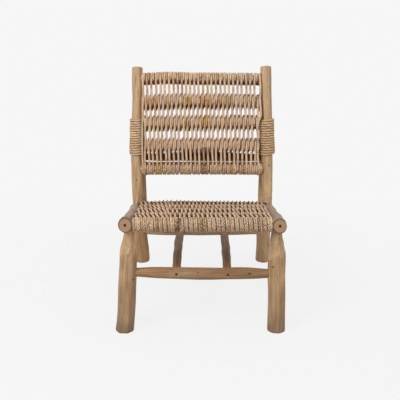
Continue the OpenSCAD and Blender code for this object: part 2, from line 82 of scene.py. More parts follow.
# Height and radius along them, on each side's lower part and on the upper part
REAR_LOWER = {
    LEFT: ((0.0, 0.0318), (0.02, 0.0314), (0.05, 0.0296), (0.1, 0.0272), (0.14, 0.0268), (0.2, 0.0268),
           (0.26, 0.0262)),
    RIGHT: ((0.0, 0.0288), (0.02, 0.0286), (0.06, 0.0284), (0.12, 0.0282), (0.2, 0.0276), (0.26, 0.0262)),
}
REAR_UPPER = ((0.285, 0.025), (0.33, 0.0258), (0.39, 0.0268), (0.45, 0.0262), (0.5, 0.0246), (0.53, 0.0222),
              (REAR_TOP_Z, 0.019))
# Back posts
POST_ROOT_Y = 0.414
POST_LEAN = math.radians(18.2)
POST_TOP_Z = {LEFT: 0.8018, RIGHT: 0.8046}
POST_TOP_X = {LEFT: 0.2455, RIGHT: 0.241}
POST_R = 0.0205
POST_GAP = 0.0003
# Rope
ROPE_R = 0.004
ROPE_GAP = 0.0003
LAY = 0.028
PLIES = 3
PLY_SHARE = 0.54
# How much it swells, over what length, how uneven it is, and how thick its ends are
SWELL, SWELL_LENGTH = 0.035, 0.043
UNEVEN = 0.02
ROPE_END = 0.72
ROPE_SIDES = 12
ROPE_STEP = LAY / ROPE_SIDES
ROPE_REFERENCE = (0.3, 0.5, 0.81)
UNDER_STEP = 0.005
SEAT_ROPE_R = 0.00367
SEAT_PITCH = 4 * SEAT_ROPE_R
BACK_PITCH = 4 * ROPE_R
SEAT_STRAND_R, BACK_STRAND_R = 0.0037, 0.0041
SEAT_FAN_X = -0.105
# How far a strand strays at the edge of a gap, at its start and between two rods
GAP_STRAY, START_STRAY, SWAY = 0.0003, 0.0009, 0.0011
PATCH_EDGE = 0.002
EDGE_PULL = 0.045
# Stretchers, braces and their screws
FRONT_BAR_Z = 0.202
REAR_BAR_Z = 0.1395
CROSSBAR_Z = 0.4655
BRACE_X = (0.0835, 0.088)
BRACE_RADII = (0.0142, 0.0166)
BRACE_BOW = 0.0035
SCREW_HOLE_R = 0.0045
# Lashings
LASH_TURNS = 15
LASH_PITCH = 0.0086
LASH_BOTTOM_Z = 0.484
# Logs: their swellings, each as (lobes, wave length), and the rings of their end faces
SWELLINGS = ((1, 0.3), (2, 0.22), (2, 0.45), (3, 0.16), (4, 0.25), (5, 0.11), (7, 0.35), (11, 0.5))
END_SHARES = (0.97, 0.86, 0.68, 0.48, 0.3, 0.15)


def linear(colour):
    """Linear colour of an 8-bit sRGB colour."""
    c = np.array(colour) / 255
    return np.where(c <= 0.04045, c / 12.92, ((c + 0.055) / 1.055) ** 2.4)


def lerp(a, b, t):
    return np.asarray(a) + (np.asarray(b) - np.asarray(a)) * t


# Axes of the main logs

def rear_leg_at(side, z):
    x = lerp(REAR_FOOT[0], REAR_TOP_X, z / REAR_AXIS_TOP_Z)
    return np.array([side * x, REAR_FOOT[1] - z * math.tan(REAR_LEAN), z])


def rear_leg_r(z):
    """Radius of a rear leg where the lashing holds it."""
    return float(np.interp(z, *zip(*REAR_UPPER)))


def rail_at(side, y):
    front = np.array([side * RAIL_FRONT_X[side], RAIL_FRONT_Y, RAIL_FRONT_Z[side]])
    rear = rear_leg_at(side, RAIL_REAR_Z)
    return lerp(front, rear, (y - front[1]) / (rear[1] - front[1]))


def rail_radius(y):
    rear_y = rear_leg_at(RIGHT, RAIL_REAR_Z)[1]
    return float(lerp(*RAIL_RADII, (y - RAIL_FRONT_Y) / (rear_y - RAIL_FRONT_Y)))


def post_ends(side):
    root = rail_at(side, POST_ROOT_Y)
    top_z = POST_TOP_Z[side]
    top_y = POST_ROOT_Y + (top_z - root[2]) * math.tan(POST_LEAN)
    return root, np.array([side * POST_TOP_X[side], top_y, top_z])


def post_at(side, z):
    root, top = post_ends(side)
    return lerp(root, top, (z - root[2]) / (top[2] - root[2]))


# Lines, angles and meshes

def smooth_line(values, passes):
    """Softens a row of points or radii, with its ends kept."""
    values = np.array(values, float)
    for _ in range(passes):
        values[1:-1] = (values[:-2] + 2 * values[1:-1] + values[2:]) / 4
    return values


def smooth_values(values, half):
    """Running mean over half steps to each side."""
    padded = np.pad(values, half, mode="edge")
    return np.convolve(padded, np.ones(2 * half + 1) / (2 * half + 1), mode="valid")


def distances(path):
    """Distance of each point of a polyline from its start."""
    return np.concatenate([[0], np.cumsum(np.linalg.norm(np.diff(path, axis=0), axis=1))])


def points_along(path, s):
    """Points of a polyline at distances s from its start."""
    along = distances(path)
    return np.stack([np.interp(s, along, path[:, k]) for k in range(3)], 1)


def resample(path, step):
    """Points at equal steps along a polyline."""
    return points_along(path, np.arange(0, distances(path)[-1], step))


def unit(rows):
    return rows / np.linalg.norm(rows, axis=1)[:, None]


def wrapped(angle):
    """The same angle between minus half a turn and half a turn."""
    return (angle + math.pi) % TURN - math.pi


def toward(angle):
    return np.array([math.cos(angle), math.sin(angle)])


def spokes(angle, u, v):
    """Directions at angles round each ring, from its two directions across."""
    return np.cos(angle)[..., None] * u[:, None, :] + np.sin(angle)[..., None] * v[:, None, :]


def seed_of(name):
    return sum((i + 1) * ord(c) for i, c in enumerate(name))


def tube_faces(rings, sides, start=0):
    """Quads between rings of points."""
    i, k = np.meshgrid(np.arange(rings - 1), np.arange(sides), indexing="ij")
    a = start + i * sides + k
    b = start + i * sides + (k + 1) % sides
    return np.stack([a, b, b + sides, a + sides], -1).reshape(-1, 4)


def add_object(name, data):
    made = bpy.data.objects.new(name, data)
    bpy.context.scene.collection.objects.link(made)
    return made


ATTRIBUTES = {1: ("FLOAT", "value"), 3: ("FLOAT_VECTOR", "vector"), 4: ("FLOAT_COLOR", "color")}


def add_piece(name, node, slot, material, points, faces, **attributes):
    """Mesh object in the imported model's frame, with its point attributes, in place of a node."""
    mesh = bpy.data.meshes.new(name)
    counts = np.array([len(f) for f in faces], np.int32)
    corners = np.concatenate([np.asarray(f, np.int32) for f in faces])
    mesh.vertices.add(len(points))
    mesh.vertices.foreach_set("co", (points + SHIFT).astype(np.float32).ravel())
    mesh.loops.add(len(corners))
    mesh.loops.foreach_set("vertex_index", corners)
    mesh.polygons.add(len(counts))
    mesh.polygons.foreach_set("loop_start", np.concatenate([[0], np.cumsum(counts)[:-1]]).astype(np.int32))
    mesh.polygons.foreach_set("loop_total", counts)
    mesh.polygons.foreach_set("use_smooth", np.ones(len(counts), bool))
    for key, values in attributes.items():
        kind, field = ATTRIBUTES[np.size(values) // len(points)]
        attribute = mesh.attributes.new(key, kind, "POINT")
        attribute.data.foreach_set(field, np.asarray(values, np.float32).ravel())
    mesh.materials.append(material)
    mesh.update(calc_edges=True)
    mesh.validate()
    piece = add_object(name, mesh)
    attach(piece, "root")
    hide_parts(node)


# Logs

def ring_directions(axis, ref, level):
    """Two directions across each ring of a log. With level, the rings are horizontal."""
    if level:
        lean = np.gradient(axis[:, 1]) / np.maximum(np.gradient(axis[:, 2]), 1e-6)
        return np.tile([1.0, 0.0, 0.0], (len(axis), 1)), np.sqrt(1 + lean ** 2)[:, None] * [0.0, 1.0, 0.0]
    t = unit(np.gradient(axis, axis=0))
    u = unit(np.cross(np.cross(t, np.array(ref, float)), t))
    return u, np.cross(t, u)


def hewn_radius(s, angle, hewn, rng):
    """Radius of a log within its hewn flats, whose edges are softened a little."""
    start, end, flats, outer_r, inner_r = hewn
    facing = (np.arange(flats) + rng.uniform(-0.22, 0.22, flats)) * TURN / flats
    reach = 1 / np.maximum(np.cos(wrapped(angle[:, None] - facing)), 0.2)
    depths = []
    for _ in range(flats):
        share = np.clip((s - start - rng.uniform(-0.01, 0.01)) / (end - start), 0, 1)
        share = share ** rng.uniform(0.6, 0.85)
        ripple = 0.0004 * np.sin(TURN * s / rng.uniform(0.02, 0.04) + rng.uniform(0, 6)) * (share > 0)
        depths.append(lerp(outer_r, inner_r * rng.uniform(0.94, 1.04), share) + ripple)
    sharpness = 3500
    flat_r = reach[None, :, :] * np.stack(depths, 1)[:, None, :]
    return -np.log(np.exp(-flat_r * sharpness).sum(-1)) / sharpness


def carve(r, s, angle, knots, cracks, holes):
    """Radius of a log's points with its knots, cracks and holes, and how dark these mark each point."""
    down = s[:, None]
    mark = np.zeros_like(r)
    for at, turn, size, height in knots:
        away = np.hypot(wrapped(angle - turn) * r, (down - at) * 0.7)
        r += height * np.exp(-(away / size) ** 2) - height * 1.1 * np.exp(-(away / (size * 0.42)) ** 2)
        mark = np.maximum(mark, np.exp(-(away / (size * 0.75)) ** 2))
    for at, turn, span, width in cracks:
        off = wrapped(angle - turn - 0.12 * np.sin(9 * (down - at) / span))
        line = np.exp(-(off * r / width) ** 2) * np.clip(1.5 - 3 * np.abs(down - at) / span, 0, 1)
        r -= 0.0006 * line
        mark = np.maximum(mark, 0.9 * line)
    for at, turn, hole_r, floor_r in holes:
        off = wrapped(angle - turn)
        away = np.where(np.abs(off) < 1, np.hypot(np.sin(off) * r, down - at), 1)
        sunk = np.clip((hole_r - away) / 0.0006 + 0.5, 0, 1)
        r = lerp(r, np.minimum(r, floor_r / np.cos(np.clip(off, -1, 1))), sunk)
        mark = np.maximum(mark, 0.9 * np.clip((hole_r + 0.0008 - away) / 0.0012, 0, 1))
    return r, mark


def log_piece(node, keys, slot, material, ref=(0, 0, 1), around=64, step=0.005, wander=0.0012, rough=0.0006,
              hewn=None, knots=(), cracks=(), holes=(), round_end=0.003, caps=(False, False), pith=False,
              level=False, shape=None, tone=0.5, soften=6, grey=(0.0, 0.0)):
    """Round branch in place of a node, along keys of (point, radius), with a wandering axis and flaws.

    hewn is (start, end, flats, outer radius, inner radius): flats that slope in from a shoulder to a neck.
    tone is how light the log is, or its lightness at places evenly spread from its start to its end.
    A knot is (distance, angle, size, height), and a crack is (distance, angle, length, width). A hole is
    (distance, angle, radius, floor's distance from the axis). grey is how weathered the log is at its start
    and its end; on the braces its rise to the rear end is painted light, from behind. caps says which ends
    are closed and rounded by round_end. With level, the rings are horizontal, so that the foot lies flat on
    the floor."""
    name = node + "_log"
    rng = np.random.default_rng(seed_of(name))
    corners = np.array([point for point, _ in keys], float)
    stations = distances(corners)
    length = stations[-1]
    s = np.linspace(0, length, max(12, int(length / step)) + 1)
    curve = round_end * (1 - np.cos(np.linspace(0, math.pi / 2, 5)))[:-1]
    if caps[0]:
        s = np.concatenate([curve, s[s > round_end]])
    if caps[1]:
        s = np.concatenate([s[s < length - round_end], length - curve[::-1]])
    axis = smooth_line(points_along(corners, s), soften * 4)
    radius = smooth_line(np.interp(s, stations, [r for _, r in keys]), soften)
    u, v = ring_directions(axis, ref, level)
    fade = np.sin(math.pi * np.clip(s / length, 0, 1))[:, None]
    for _ in range(2):
        wave = rng.uniform(0.25, 0.6)
        phase, heading = rng.uniform(0, TURN, 2)
        bend = wander * np.sin(TURN * s / wave + phase)[:, None] * fade
        axis = axis + bend * (math.cos(heading) * u + math.sin(heading) * v)

    # Radius of each point
    angle = np.linspace(0, TURN, around, endpoint=False)
    r = np.repeat(radius[:, None], around, 1)
    for lobes, wave in SWELLINGS:
        amount = rough * rng.uniform(0.5, 1.0) * (1.6 if lobes < 4 else 0.7 if lobes < 7 else 0.45)
        p, q = rng.uniform(0, TURN, 2)
        r += amount * np.cos(lobes * angle + p) * np.cos(TURN * s[:, None] / wave + q)
    fresh = np.zeros_like(r)
    if hewn:
        flat_r = hewn_radius(s, angle, hewn, rng)
        fresh = np.clip((r - flat_r) / 0.0005, 0, 1)
        r = np.minimum(r, flat_r)
    r, mark = carve(r, s, angle, knots, cracks, holes)
    for capped, distance in zip(caps, (s, length - s)):
        if capped:
            inward = np.maximum(round_end - distance, 0)
            r -= (round_end - np.sqrt(np.maximum(round_end ** 2 - inward ** 2, 0)))[:, None]

    # End faces, with the pith hole where there is one
    points = (axis[:, None, :] + r[:, :, None] * spokes(angle, u, v)).reshape(-1, 3)
    grain_start = rng.uniform(0, 50, 3) * 0.1
    grain = np.broadcast_arrays(r * np.cos(angle), r * np.sin(angle), s[:, None])
    grain = np.stack(grain, -1).reshape(-1, 3)
    faces = tube_faces(len(s), around)[:, ::-1].tolist()
    # Rows of place, grain, end grain and dark mark, one of each for a point
    rows = [points, grain, np.zeros(len(points)), mark.ravel()]
    k = np.arange(around)
    j = (k + 1) % around
    for end, capped in enumerate(caps):
        first = end * (len(s) - 1) * around
        centre, centre_grain = axis[-end], np.array([0, 0, s[-end]])
        rim, rim_grain = points[first:first + around], grain[first:first + around]
        out = axis[-1] - axis[-2] if end else axis[0] - axis[1]
        out = np.array([0, 0, np.sign(out[2])]) if level else out / np.linalg.norm(out)
        rings = []
        for share in END_SHARES if capped else ():
            jitter = rng.normal(0, 0.00012, around)[:, None] * out * (not level)
            rings.append((lerp(centre, rim, share) + jitter, lerp(centre_grain, rim_grain, share)))
        holed = pith and not end
        if holed:
            for hole_r, depth in ((PITH_R * 1.25, 0), (PITH_R, 0.0008), (PITH_R * 0.8, PITH_DEPTH)):
                circle = hole_r * np.cos(angle), hole_r * np.sin(angle)
                place = np.stack([*circle, np.full(around, -depth)], 1)
                rings.append((centre + unit(rim - centre) * hole_r - out * depth, centre_grain + place))
        for ring, ring_grain in rings:
            dark = pith & (np.linalg.norm(ring - centre, axis=1) < 1.3 * PITH_R)
            size = len(rows[0])
            quads = np.stack([first + k, size + k, size + j, first + j], 1)
            faces += (quads if end else quads[:, ::-1]).tolist()
            rows = [np.concatenate(pair) for pair in zip(rows, (ring, ring_grain, np.ones(around), dark))]
            first = size
        fan = np.stack([first + k, np.full(around, len(rows[0])), first + j], 1)
        faces += (fan if end else fan[:, ::-1]).tolist()
        inner = rows[0][first:first + around].mean(0)
        rows = [np.concatenate(pair) for pair in zip(rows, ([inner], [centre_grain], [capped], [holed]))]
    points, grain, cut, mark = rows
    if shape:
        points = shape(points)
    t = grain[:, 2] / length
    add_piece(
        name, node, slot, material, points, faces, grain=grain + grain_start, radial=grain, cut=cut,
        mark=mark, fresh=np.append(fresh, np.zeros(len(points) - fresh.size)), grey=lerp(*grey, t),
        tone=np.interp(t, np.linspace(0, 1, np.size(tone)), np.atleast_1d(tone))
    )


# Rope

def ply_radius(angle, r):
    """Outline of three plies laid together."""
    ply_r = r * PLY_SHARE
    reach = r - ply_r
    sector = TURN / PLIES
    off = (angle + sector / 2) % sector - sector / 2
    return reach * np.cos(off) + np.sqrt(np.maximum(ply_r ** 2 - (reach * np.sin(off)) ** 2, 0))


class Ropes:
    """Collects many lengths of laid rope into one mesh, which takes a node's place."""

    def __init__(self, node, across=(1, 0, 0)):
        self.node = node
        self.name = node + "_rope"
        self.across = np.array(across, float)
        self.rng = np.random.default_rng(seed_of(self.name))
        self.rows, self.faces, self.size = [], [], 0

    def add(self, path, tint, radius=ROPE_R, step=ROPE_STEP, grow=1.0):
        """One length of rope along points at equal steps, with one tint, or a tint for each point.

        grow is how many times as thick it is, and its flanks are the sides that face along across, which get
        painted shade."""
        rings = len(path)
        t = unit(np.gradient(path, axis=0))
        u = np.zeros_like(t)
        side = np.cross(t[0], ROPE_REFERENCE)
        u[0] = side / np.linalg.norm(side)
        for i in range(1, rings):
            w = u[i - 1] - np.dot(u[i - 1], t[i]) * t[i]
            u[i] = w / np.linalg.norm(w)
        s = np.arange(rings) * step
        start = self.rng.uniform(0, TURN)
        swell = 1 + SWELL * np.sin(TURN * s / SWELL_LENGTH + start) + UNEVEN * self.rng.normal(0, 1, rings)
        swell = swell * grow
        swell[0] = swell[-1] = ROPE_END
        base = np.linspace(0, TURN, ROPE_SIDES, endpoint=False)
        outline = ply_radius(base, radius)
        ring = spokes(base + (start + TURN * s / LAY)[:, None], u, np.cross(t, u))
        points = (path[:, None, :] + (outline * swell[:, None])[:, :, None] * ring).reshape(-1, 3)
        flank = np.abs(ring @ self.across).ravel()
        lay_at = (s + self.rng.uniform(0, 40))[:, None]
        lay = np.stack(np.broadcast_arrays(lay_at, np.cos(base), np.sin(base)), -1).reshape(-1, 3)
        valley = np.tile((radius - outline) / (radius - outline.min()), rings)
        colour = np.repeat(np.broadcast_to(tint, (rings, 3)), ROPE_SIDES, 0)
        self.rows.append((
            np.vstack([points, path[0], path[-1]]), np.vstack([lay, lay[0], lay[-1]]),
            np.append(valley, [0.5, 0.5]), np.append(flank, [0.5, 0.5]),
            np.vstack([colour, colour[0], colour[-1]])
        ))
        self.faces += tube_faces(rings, ROPE_SIDES, self.size)[:, ::-1].tolist()
        last, tip = self.size + (rings - 1) * ROPE_SIDES, self.size + len(points)
        for k in range(ROPE_SIDES):
            j = (k + 1) % ROPE_SIDES
            self.faces += [self.size + k, self.size + j, tip], [last + j, last + k, tip + 1]
        self.size = tip + 2

    def finish(self, skins=()):
        points, lay, valley, flank, tint = (np.concatenate(column) for column in zip(*self.rows))
        tint = np.hstack([tint, np.ones((len(tint), 1))])
        add_piece(self.name, self.node, "rope", ROPE, points, self.faces, deep=recess(points, skins),
                  lay=lay, valley=valley, flank=flank, tint=tint)


def recess(points, skins):
    """How deep each point lies below skins stretched round neighbouring rods, each (y, z, radius), which
    sets the rope's painted shade in recesses.
    """
    turn = np.linspace(0, TURN, 64, endpoint=False)
    normals = np.stack([np.cos(turn), np.sin(turn)]).astype(np.float32)
    depth = np.zeros(len(points), np.float32)
    batch = 200000
    for first in range(0, len(points), batch):
        rows = slice(first, first + batch)
        reach = points[rows, 1:].astype(np.float32) @ normals
        for a, b in zip(skins[:-1], skins[1:]):
            skin = np.maximum(np.array(a[:2]) @ normals + a[2], np.array(b[:2]) @ normals + b[2])
            depth[rows] = np.maximum(depth[rows], (skin[None, :] - reach).min(1))
    return depth


ROPE_TINTS = [
    ((250, 212, 174), 9), ((242, 202, 162), 8), ((254, 220, 184), 6), ((234, 190, 148), 5),
    ((236, 202, 144), 1.8), ((220, 186, 118), 0.8), ((228, 172, 114), 0.9), ((208, 160, 116), 1.4),
    ((240, 208, 186), 3.0),
]
EVEN_TINT = (248, 208, 172)
TINT_LENGTH = 0.12


def rope_tint(rng):
    weights = np.array([w for _, w in ROPE_TINTS])
    pick = rng.choice(len(ROPE_TINTS), p=weights / weights.sum())
    return linear(ROPE_TINTS[pick][0]) * rng.uniform(0.84, 1.1)


def tinted_run(rng, count):
    """Colour of each ring of a rope that changes tint now and then."""
    knots = max(3, int(count * ROPE_STEP / TINT_LENGTH))
    marks = np.array([rope_tint(rng) for _ in range(knots)])
    where = np.sort(rng.uniform(0, count, knots))
    rows = np.arange(count)
    return np.stack([np.interp(rows, where, marks[:, k]) for k in range(3)], 1)


def patched_tints(patches, axis, even, dim):
    """Tints of a strand with patches, each as (x from, x to, place from, place to, colour, share): real
    stains, and on the seat's top a patch of painted shade.

    A place is y where axis is 1, and z where it is 2. even is how far the tints are drawn together, and dim
    multiplies them; on the seat, dim is painted shade."""
    def tints(rng, points):
        colour = lerp(tinted_run(rng, len(points)), linear(EVEN_TINT), even) * dim
        place = points[:, (0, axis)]
        for x_low, x_high, low, high, patch_colour, share in patches:
            near = np.clip((place - (x_low, low)) / PATCH_EDGE + 0.5, 0, 1)
            near = near * np.clip(((x_high, high) - place) / PATCH_EDGE + 0.5, 0, 1)
            colour = lerp(colour, linear(patch_colour), share * near.prod(1)[:, None])
        return colour
    return tints


def headings_from(rods, face):
    """Angle at which strands leave each rod for the next one."""
    headings = []
    for (y, z, r, _), (next_y, next_z, next_r, _) in zip(rods[:-1], rods[1:]):
        way = math.atan2(next_z - z, next_y - y)
        headings.append(way + face * math.acos((r - next_r) / math.hypot(next_y - y, next_z - z)))
    return headings


def weave_strand(rods, face, first, last, at_gap, wrap, lean, limit, rng, lift, tail):
    """Path of one strand: wound on rod first, once round each rod on the way, and tail turns on rod last.

    A rod is (y, z, rope path's radius, dip), where dip gives the rod's own curve at x. face is +1 where the
    strands cross on the left of the way from the first rod to the last, seen along +X. at_gap gives x at the
    middle of each gap, and lean how far an end gap moves the strand. A turn moves it by wrap. The strand
    leaves each rod over its neighbour, higher by lift."""
    centres = np.array([r[:2] for r in rods])
    radii = [r[2] for r in rods]
    sense = -face
    trim = math.radians(50)
    packed = 0.93
    headings = headings_from(rods, face)
    path = []

    def wind(k, turn_from, sweep, x_from, x_to, up_by=0.0):
        low, high = limit(k)
        for t in np.linspace(0, 1, max(6, int(abs(sweep) * radii[k] / 0.003)) + 1):
            rise = np.clip(1 - (1 - t) * sweep / 1.3, 0, 1)
            out = radii[k] + up_by * rise * rise * (3 - 2 * rise)
            x = min(max(x_from + (x_to - x_from) * (t + 0.06 * math.sin(TURN * t)), low), high)
            turn = turn_from + sense * sweep * t
            y, z = centres[k] + out * toward(turn) + rods[k][3](x)
            path.append([x, y, z])

    def gap_end(k, end):
        x = at_gap(k)
        other = k + end
        if first <= other < last:
            x = (x + at_gap(other) - end * wrap) / 2
        else:
            x += end * lean(x) / 2
        return x + rng.normal(0, GAP_STRAY)

    x = gap_end(first, -1)
    start = x - wrap * 2 * packed + rng.normal(0, START_STRAY)
    wind(first, headings[first] - sense * (2 * TURN - trim), 2 * TURN - trim, start, x, lift)
    for k in range(first + 1, last + 1):
        arrive = headings[k - 1]
        x_in = gap_end(k - 1, 1)
        sway = rng.normal(0, SWAY)
        leaving, reached = path[-1], [x_in, *(centres[k] + radii[k] * toward(arrive))]
        for t in (0.3, 0.5, 0.7):
            path.append(lerp(leaving, reached, t) + [sway * math.sin(math.pi * t), 0, 0])
        if k < last:
            wind(k, arrive, TURN + wrapped(sense * (headings[k] - arrive)), x_in, gap_end(k, -1), lift)
        else:
            wind(k, arrive, tail * TURN - trim, x_in, x_in + wrap * tail * packed)
    return smooth_line(resample(np.array(path), 0.0015), 10)


def weave(ropes, rods, face, pitch, radius, phase, wrap, slant, limit, tints, rng, lean, grow, uneven=0.0004,
          lift=0.0, tail=2, fan=None):
    """All strands of a net. Each gap's strands stand wrap + slant further along x than the last gap's.

    The outer strands of each gap are drawn to its edges, and their neighbours a little with them. Left of
    fan, strands move one more pitch to the left with each gap. grow is (share, y, share beyond y), by which
    strands are thicker between rods. uneven is how far strands stray from their places."""
    reach = int(0.45 / pitch)
    places = {}
    for n in range(len(rods) - 1):
        low, high = limit(n)
        free = {i: phase + i * pitch + (wrap + slant) * n for i in range(-reach, reach + 1)}
        free = {i: x for i, x in free.items() if low - 0.5 * pitch < x < high + 0.5 * pitch}
        first, last = min(free.values()), max(free.values())
        for i, x in free.items():
            left, right = math.exp((first - x) / EDGE_PULL), math.exp((x - last) / EDGE_PULL)
            places[i, n] = x + ((low - first) * left + (high - last) * right) + rng.normal(0, uneven)

    def follow(place):
        i, n = place
        return (i - (fan is not None and places[place] < fan), n + 1)

    reached = {follow(place) for place in places}
    for start in sorted(set(places) - reached):
        run = [start]
        while follow(run[-1]) in places:
            run.append(follow(run[-1]))
        n = start[1]
        path = weave_strand(rods, face, n, n + len(run), lambda k: places[run[k - n]], wrap, lean, limit,
                            rng, lift, tail)
        points = resample(path, ROPE_STEP)
        clear = np.min([np.hypot(points[:, 1] - r[0], points[:, 2] - r[1]) - r[2] for r in rods], 0)
        between = smooth_values(np.clip(clear / ROPE_R, 0, 1), 5)
        thick = np.where(points[:, 1] > grow[1], 1 + grow[2], 1 + grow[0] * between)
        # Painted light: a strand is lighter where it spans free between rods and darker where it lies on
        # them
        tint = tints(rng, points) * (0.96 + 0.1 * between)[:, None]
        ropes.add(points, tint, radius, grow=smooth_values(thick, 5))


def wound_rods(rods, rope_r):
    """Rods as the strands meet them: with the radius of the rope's own axis."""
    return [(y, z, r + ROPE_GAP + rope_r * (0.96 + 2 * under), dip) for y, z, r, dip, under in rods]


# Rods, each as (y, z, radius, dip, layers of rope under the strands)

def arch(amount, skew=0.0, hump=0.0, at=-0.125, width=0.055):
    """A rod that bends down towards its ends, in the plane of the back, with a hump at one place."""
    def dip(x):
        share = abs(x) / 0.22
        drop = amount * (0.35 - share ** 2.6) + skew * x / 0.22 + hump * math.exp(-((x - at) / width) ** 2)
        return (drop * math.sin(POST_LEAN), drop * math.cos(POST_LEAN))
    return dip


SEAT_TOP_FRONT, SEAT_TOP_REAR = 0.403, 0.333
SEAT_FRONT_Y, SEAT_REAR_Y = -0.022, 0.388


def seat_rod(y, diameter, dip=arch(0.0), under=0, drop=0.0):
    top = float(lerp(SEAT_TOP_FRONT, SEAT_TOP_REAR, (y - SEAT_FRONT_Y) / (SEAT_REAR_Y - SEAT_FRONT_Y)))
    return (y, top - drop - 2 * ROPE_R * (1 + under) - diameter / 2, diameter / 2, dip, under)


def back_rod(z, diameter, dip, under=0):
    return (post_at(RIGHT, z)[1], z, diameter / 2, dip, under)


SEAT_RODS = {
    "seat_front_rail": seat_rod(SEAT_FRONT_Y, 0.034),
    "seat_rod_front": seat_rod(0.088, 0.021, under=1),
    "seat_rod_middle": seat_rod(0.203, 0.021, under=1),
    "seat_rod_rear": seat_rod(0.306, 0.021, under=1, drop=0.0028),
    "seat_rear_rail": seat_rod(SEAT_REAR_Y, 0.034, arch(0.0025, 0.0, 0.0038, -0.115, 0.06), drop=-0.0012),
}
BACK_RODS = {
    "back_top_rail": back_rod(0.761, 0.0325, arch(0.0015, -0.0004, 0.0032)),
    "back_rod_upper": back_rod(0.6773, 0.0315, arch(0.004, -0.0004), 1),
    "back_rod_middle": back_rod(0.6015, 0.0305, arch(0.001, 0.0005), 1),
    "back_rod_lower": back_rod(0.5205, 0.029, arch(0.001), 1),
    "back_bottom_rail": back_rod(0.4392, 0.0345, arch(0.001)),
}


# Materials

class Shader:
    """The node tree of a material or world, with short ways to add nodes. Colours are in 8-bit sRGB."""

    def __init__(self, owner, output="OutputMaterial"):
        owner.use_nodes = True
        self.owner = owner
        self.tree = owner.node_tree
        self.tree.nodes.clear()
        self.out = self.node(output)

    def put(self, socket, value):
        if isinstance(value, bpy.types.Node):
            value = value.outputs[0]
        if isinstance(value, bpy.types.NodeSocket):
            self.tree.links.new(value, socket)
        else:
            socket.default_value = (*linear(value), 1.0) if socket.type == "RGBA" else value

    def node(self, kind, *values, **named):
        """New node, with values, sockets or nodes for its first inputs and for inputs by name."""
        made = self.tree.nodes.new("ShaderNode" + kind)
        for key, value in (*enumerate(values), *named.items()):
            self.put(made.inputs[key if isinstance(key, int) else key.replace("_", " ")], value)
        return made

    def attribute(self, name, output="Fac"):
        made = self.node("Attribute")
        made.attribute_name = name
        return made.outputs[output]

    def math(self, operation, *values, kind="Math"):
        made = self.node(kind, *values)
        made.operation = operation
        return made

    def times(self, a, b):
        return self.math("MULTIPLY", a, b)

    def noise(self, place, scale, detail=2, rough=0.55, distortion=0.0):
        scaled = self.math("MULTIPLY", place, scale, kind="VectorMath")
        return self.node("TexNoise", Vector=scaled, Scale=1.0, Detail=detail, Roughness=rough,
                         Distortion=distortion)

    def ramp(self, value, low, high, out_low=0.0, out_high=1.0):
        made = self.node("MapRange", value, low, high, out_low, out_high)
        made.interpolation_type = "SMOOTHSTEP"
        return made

    def mix(self, share, a, b, blend="MIX"):
        made = self.node("Mix")
        made.data_type, made.blend_type = "RGBA", blend
        for index, value in ((0, share), (6, a), (7, b)):
            self.put(made.inputs[index], value)
        return made.outputs[2]

    def over(self, colour, value, low, high, share, tint):
        """Colour with a share of tint laid over it, from none at value low to all of it at value high."""
        return self.mix(self.ramp(value, low, high, 0.0, share), colour, tint)

    def bump(self, height, strength):
        return self.node("Bump", Strength=strength, Distance=0.0009, Height=height)

    def surface(self, kind, *values, **named):
        self.put(self.out.inputs["Surface"], self.node(kind, *values, **named))
        return self.owner


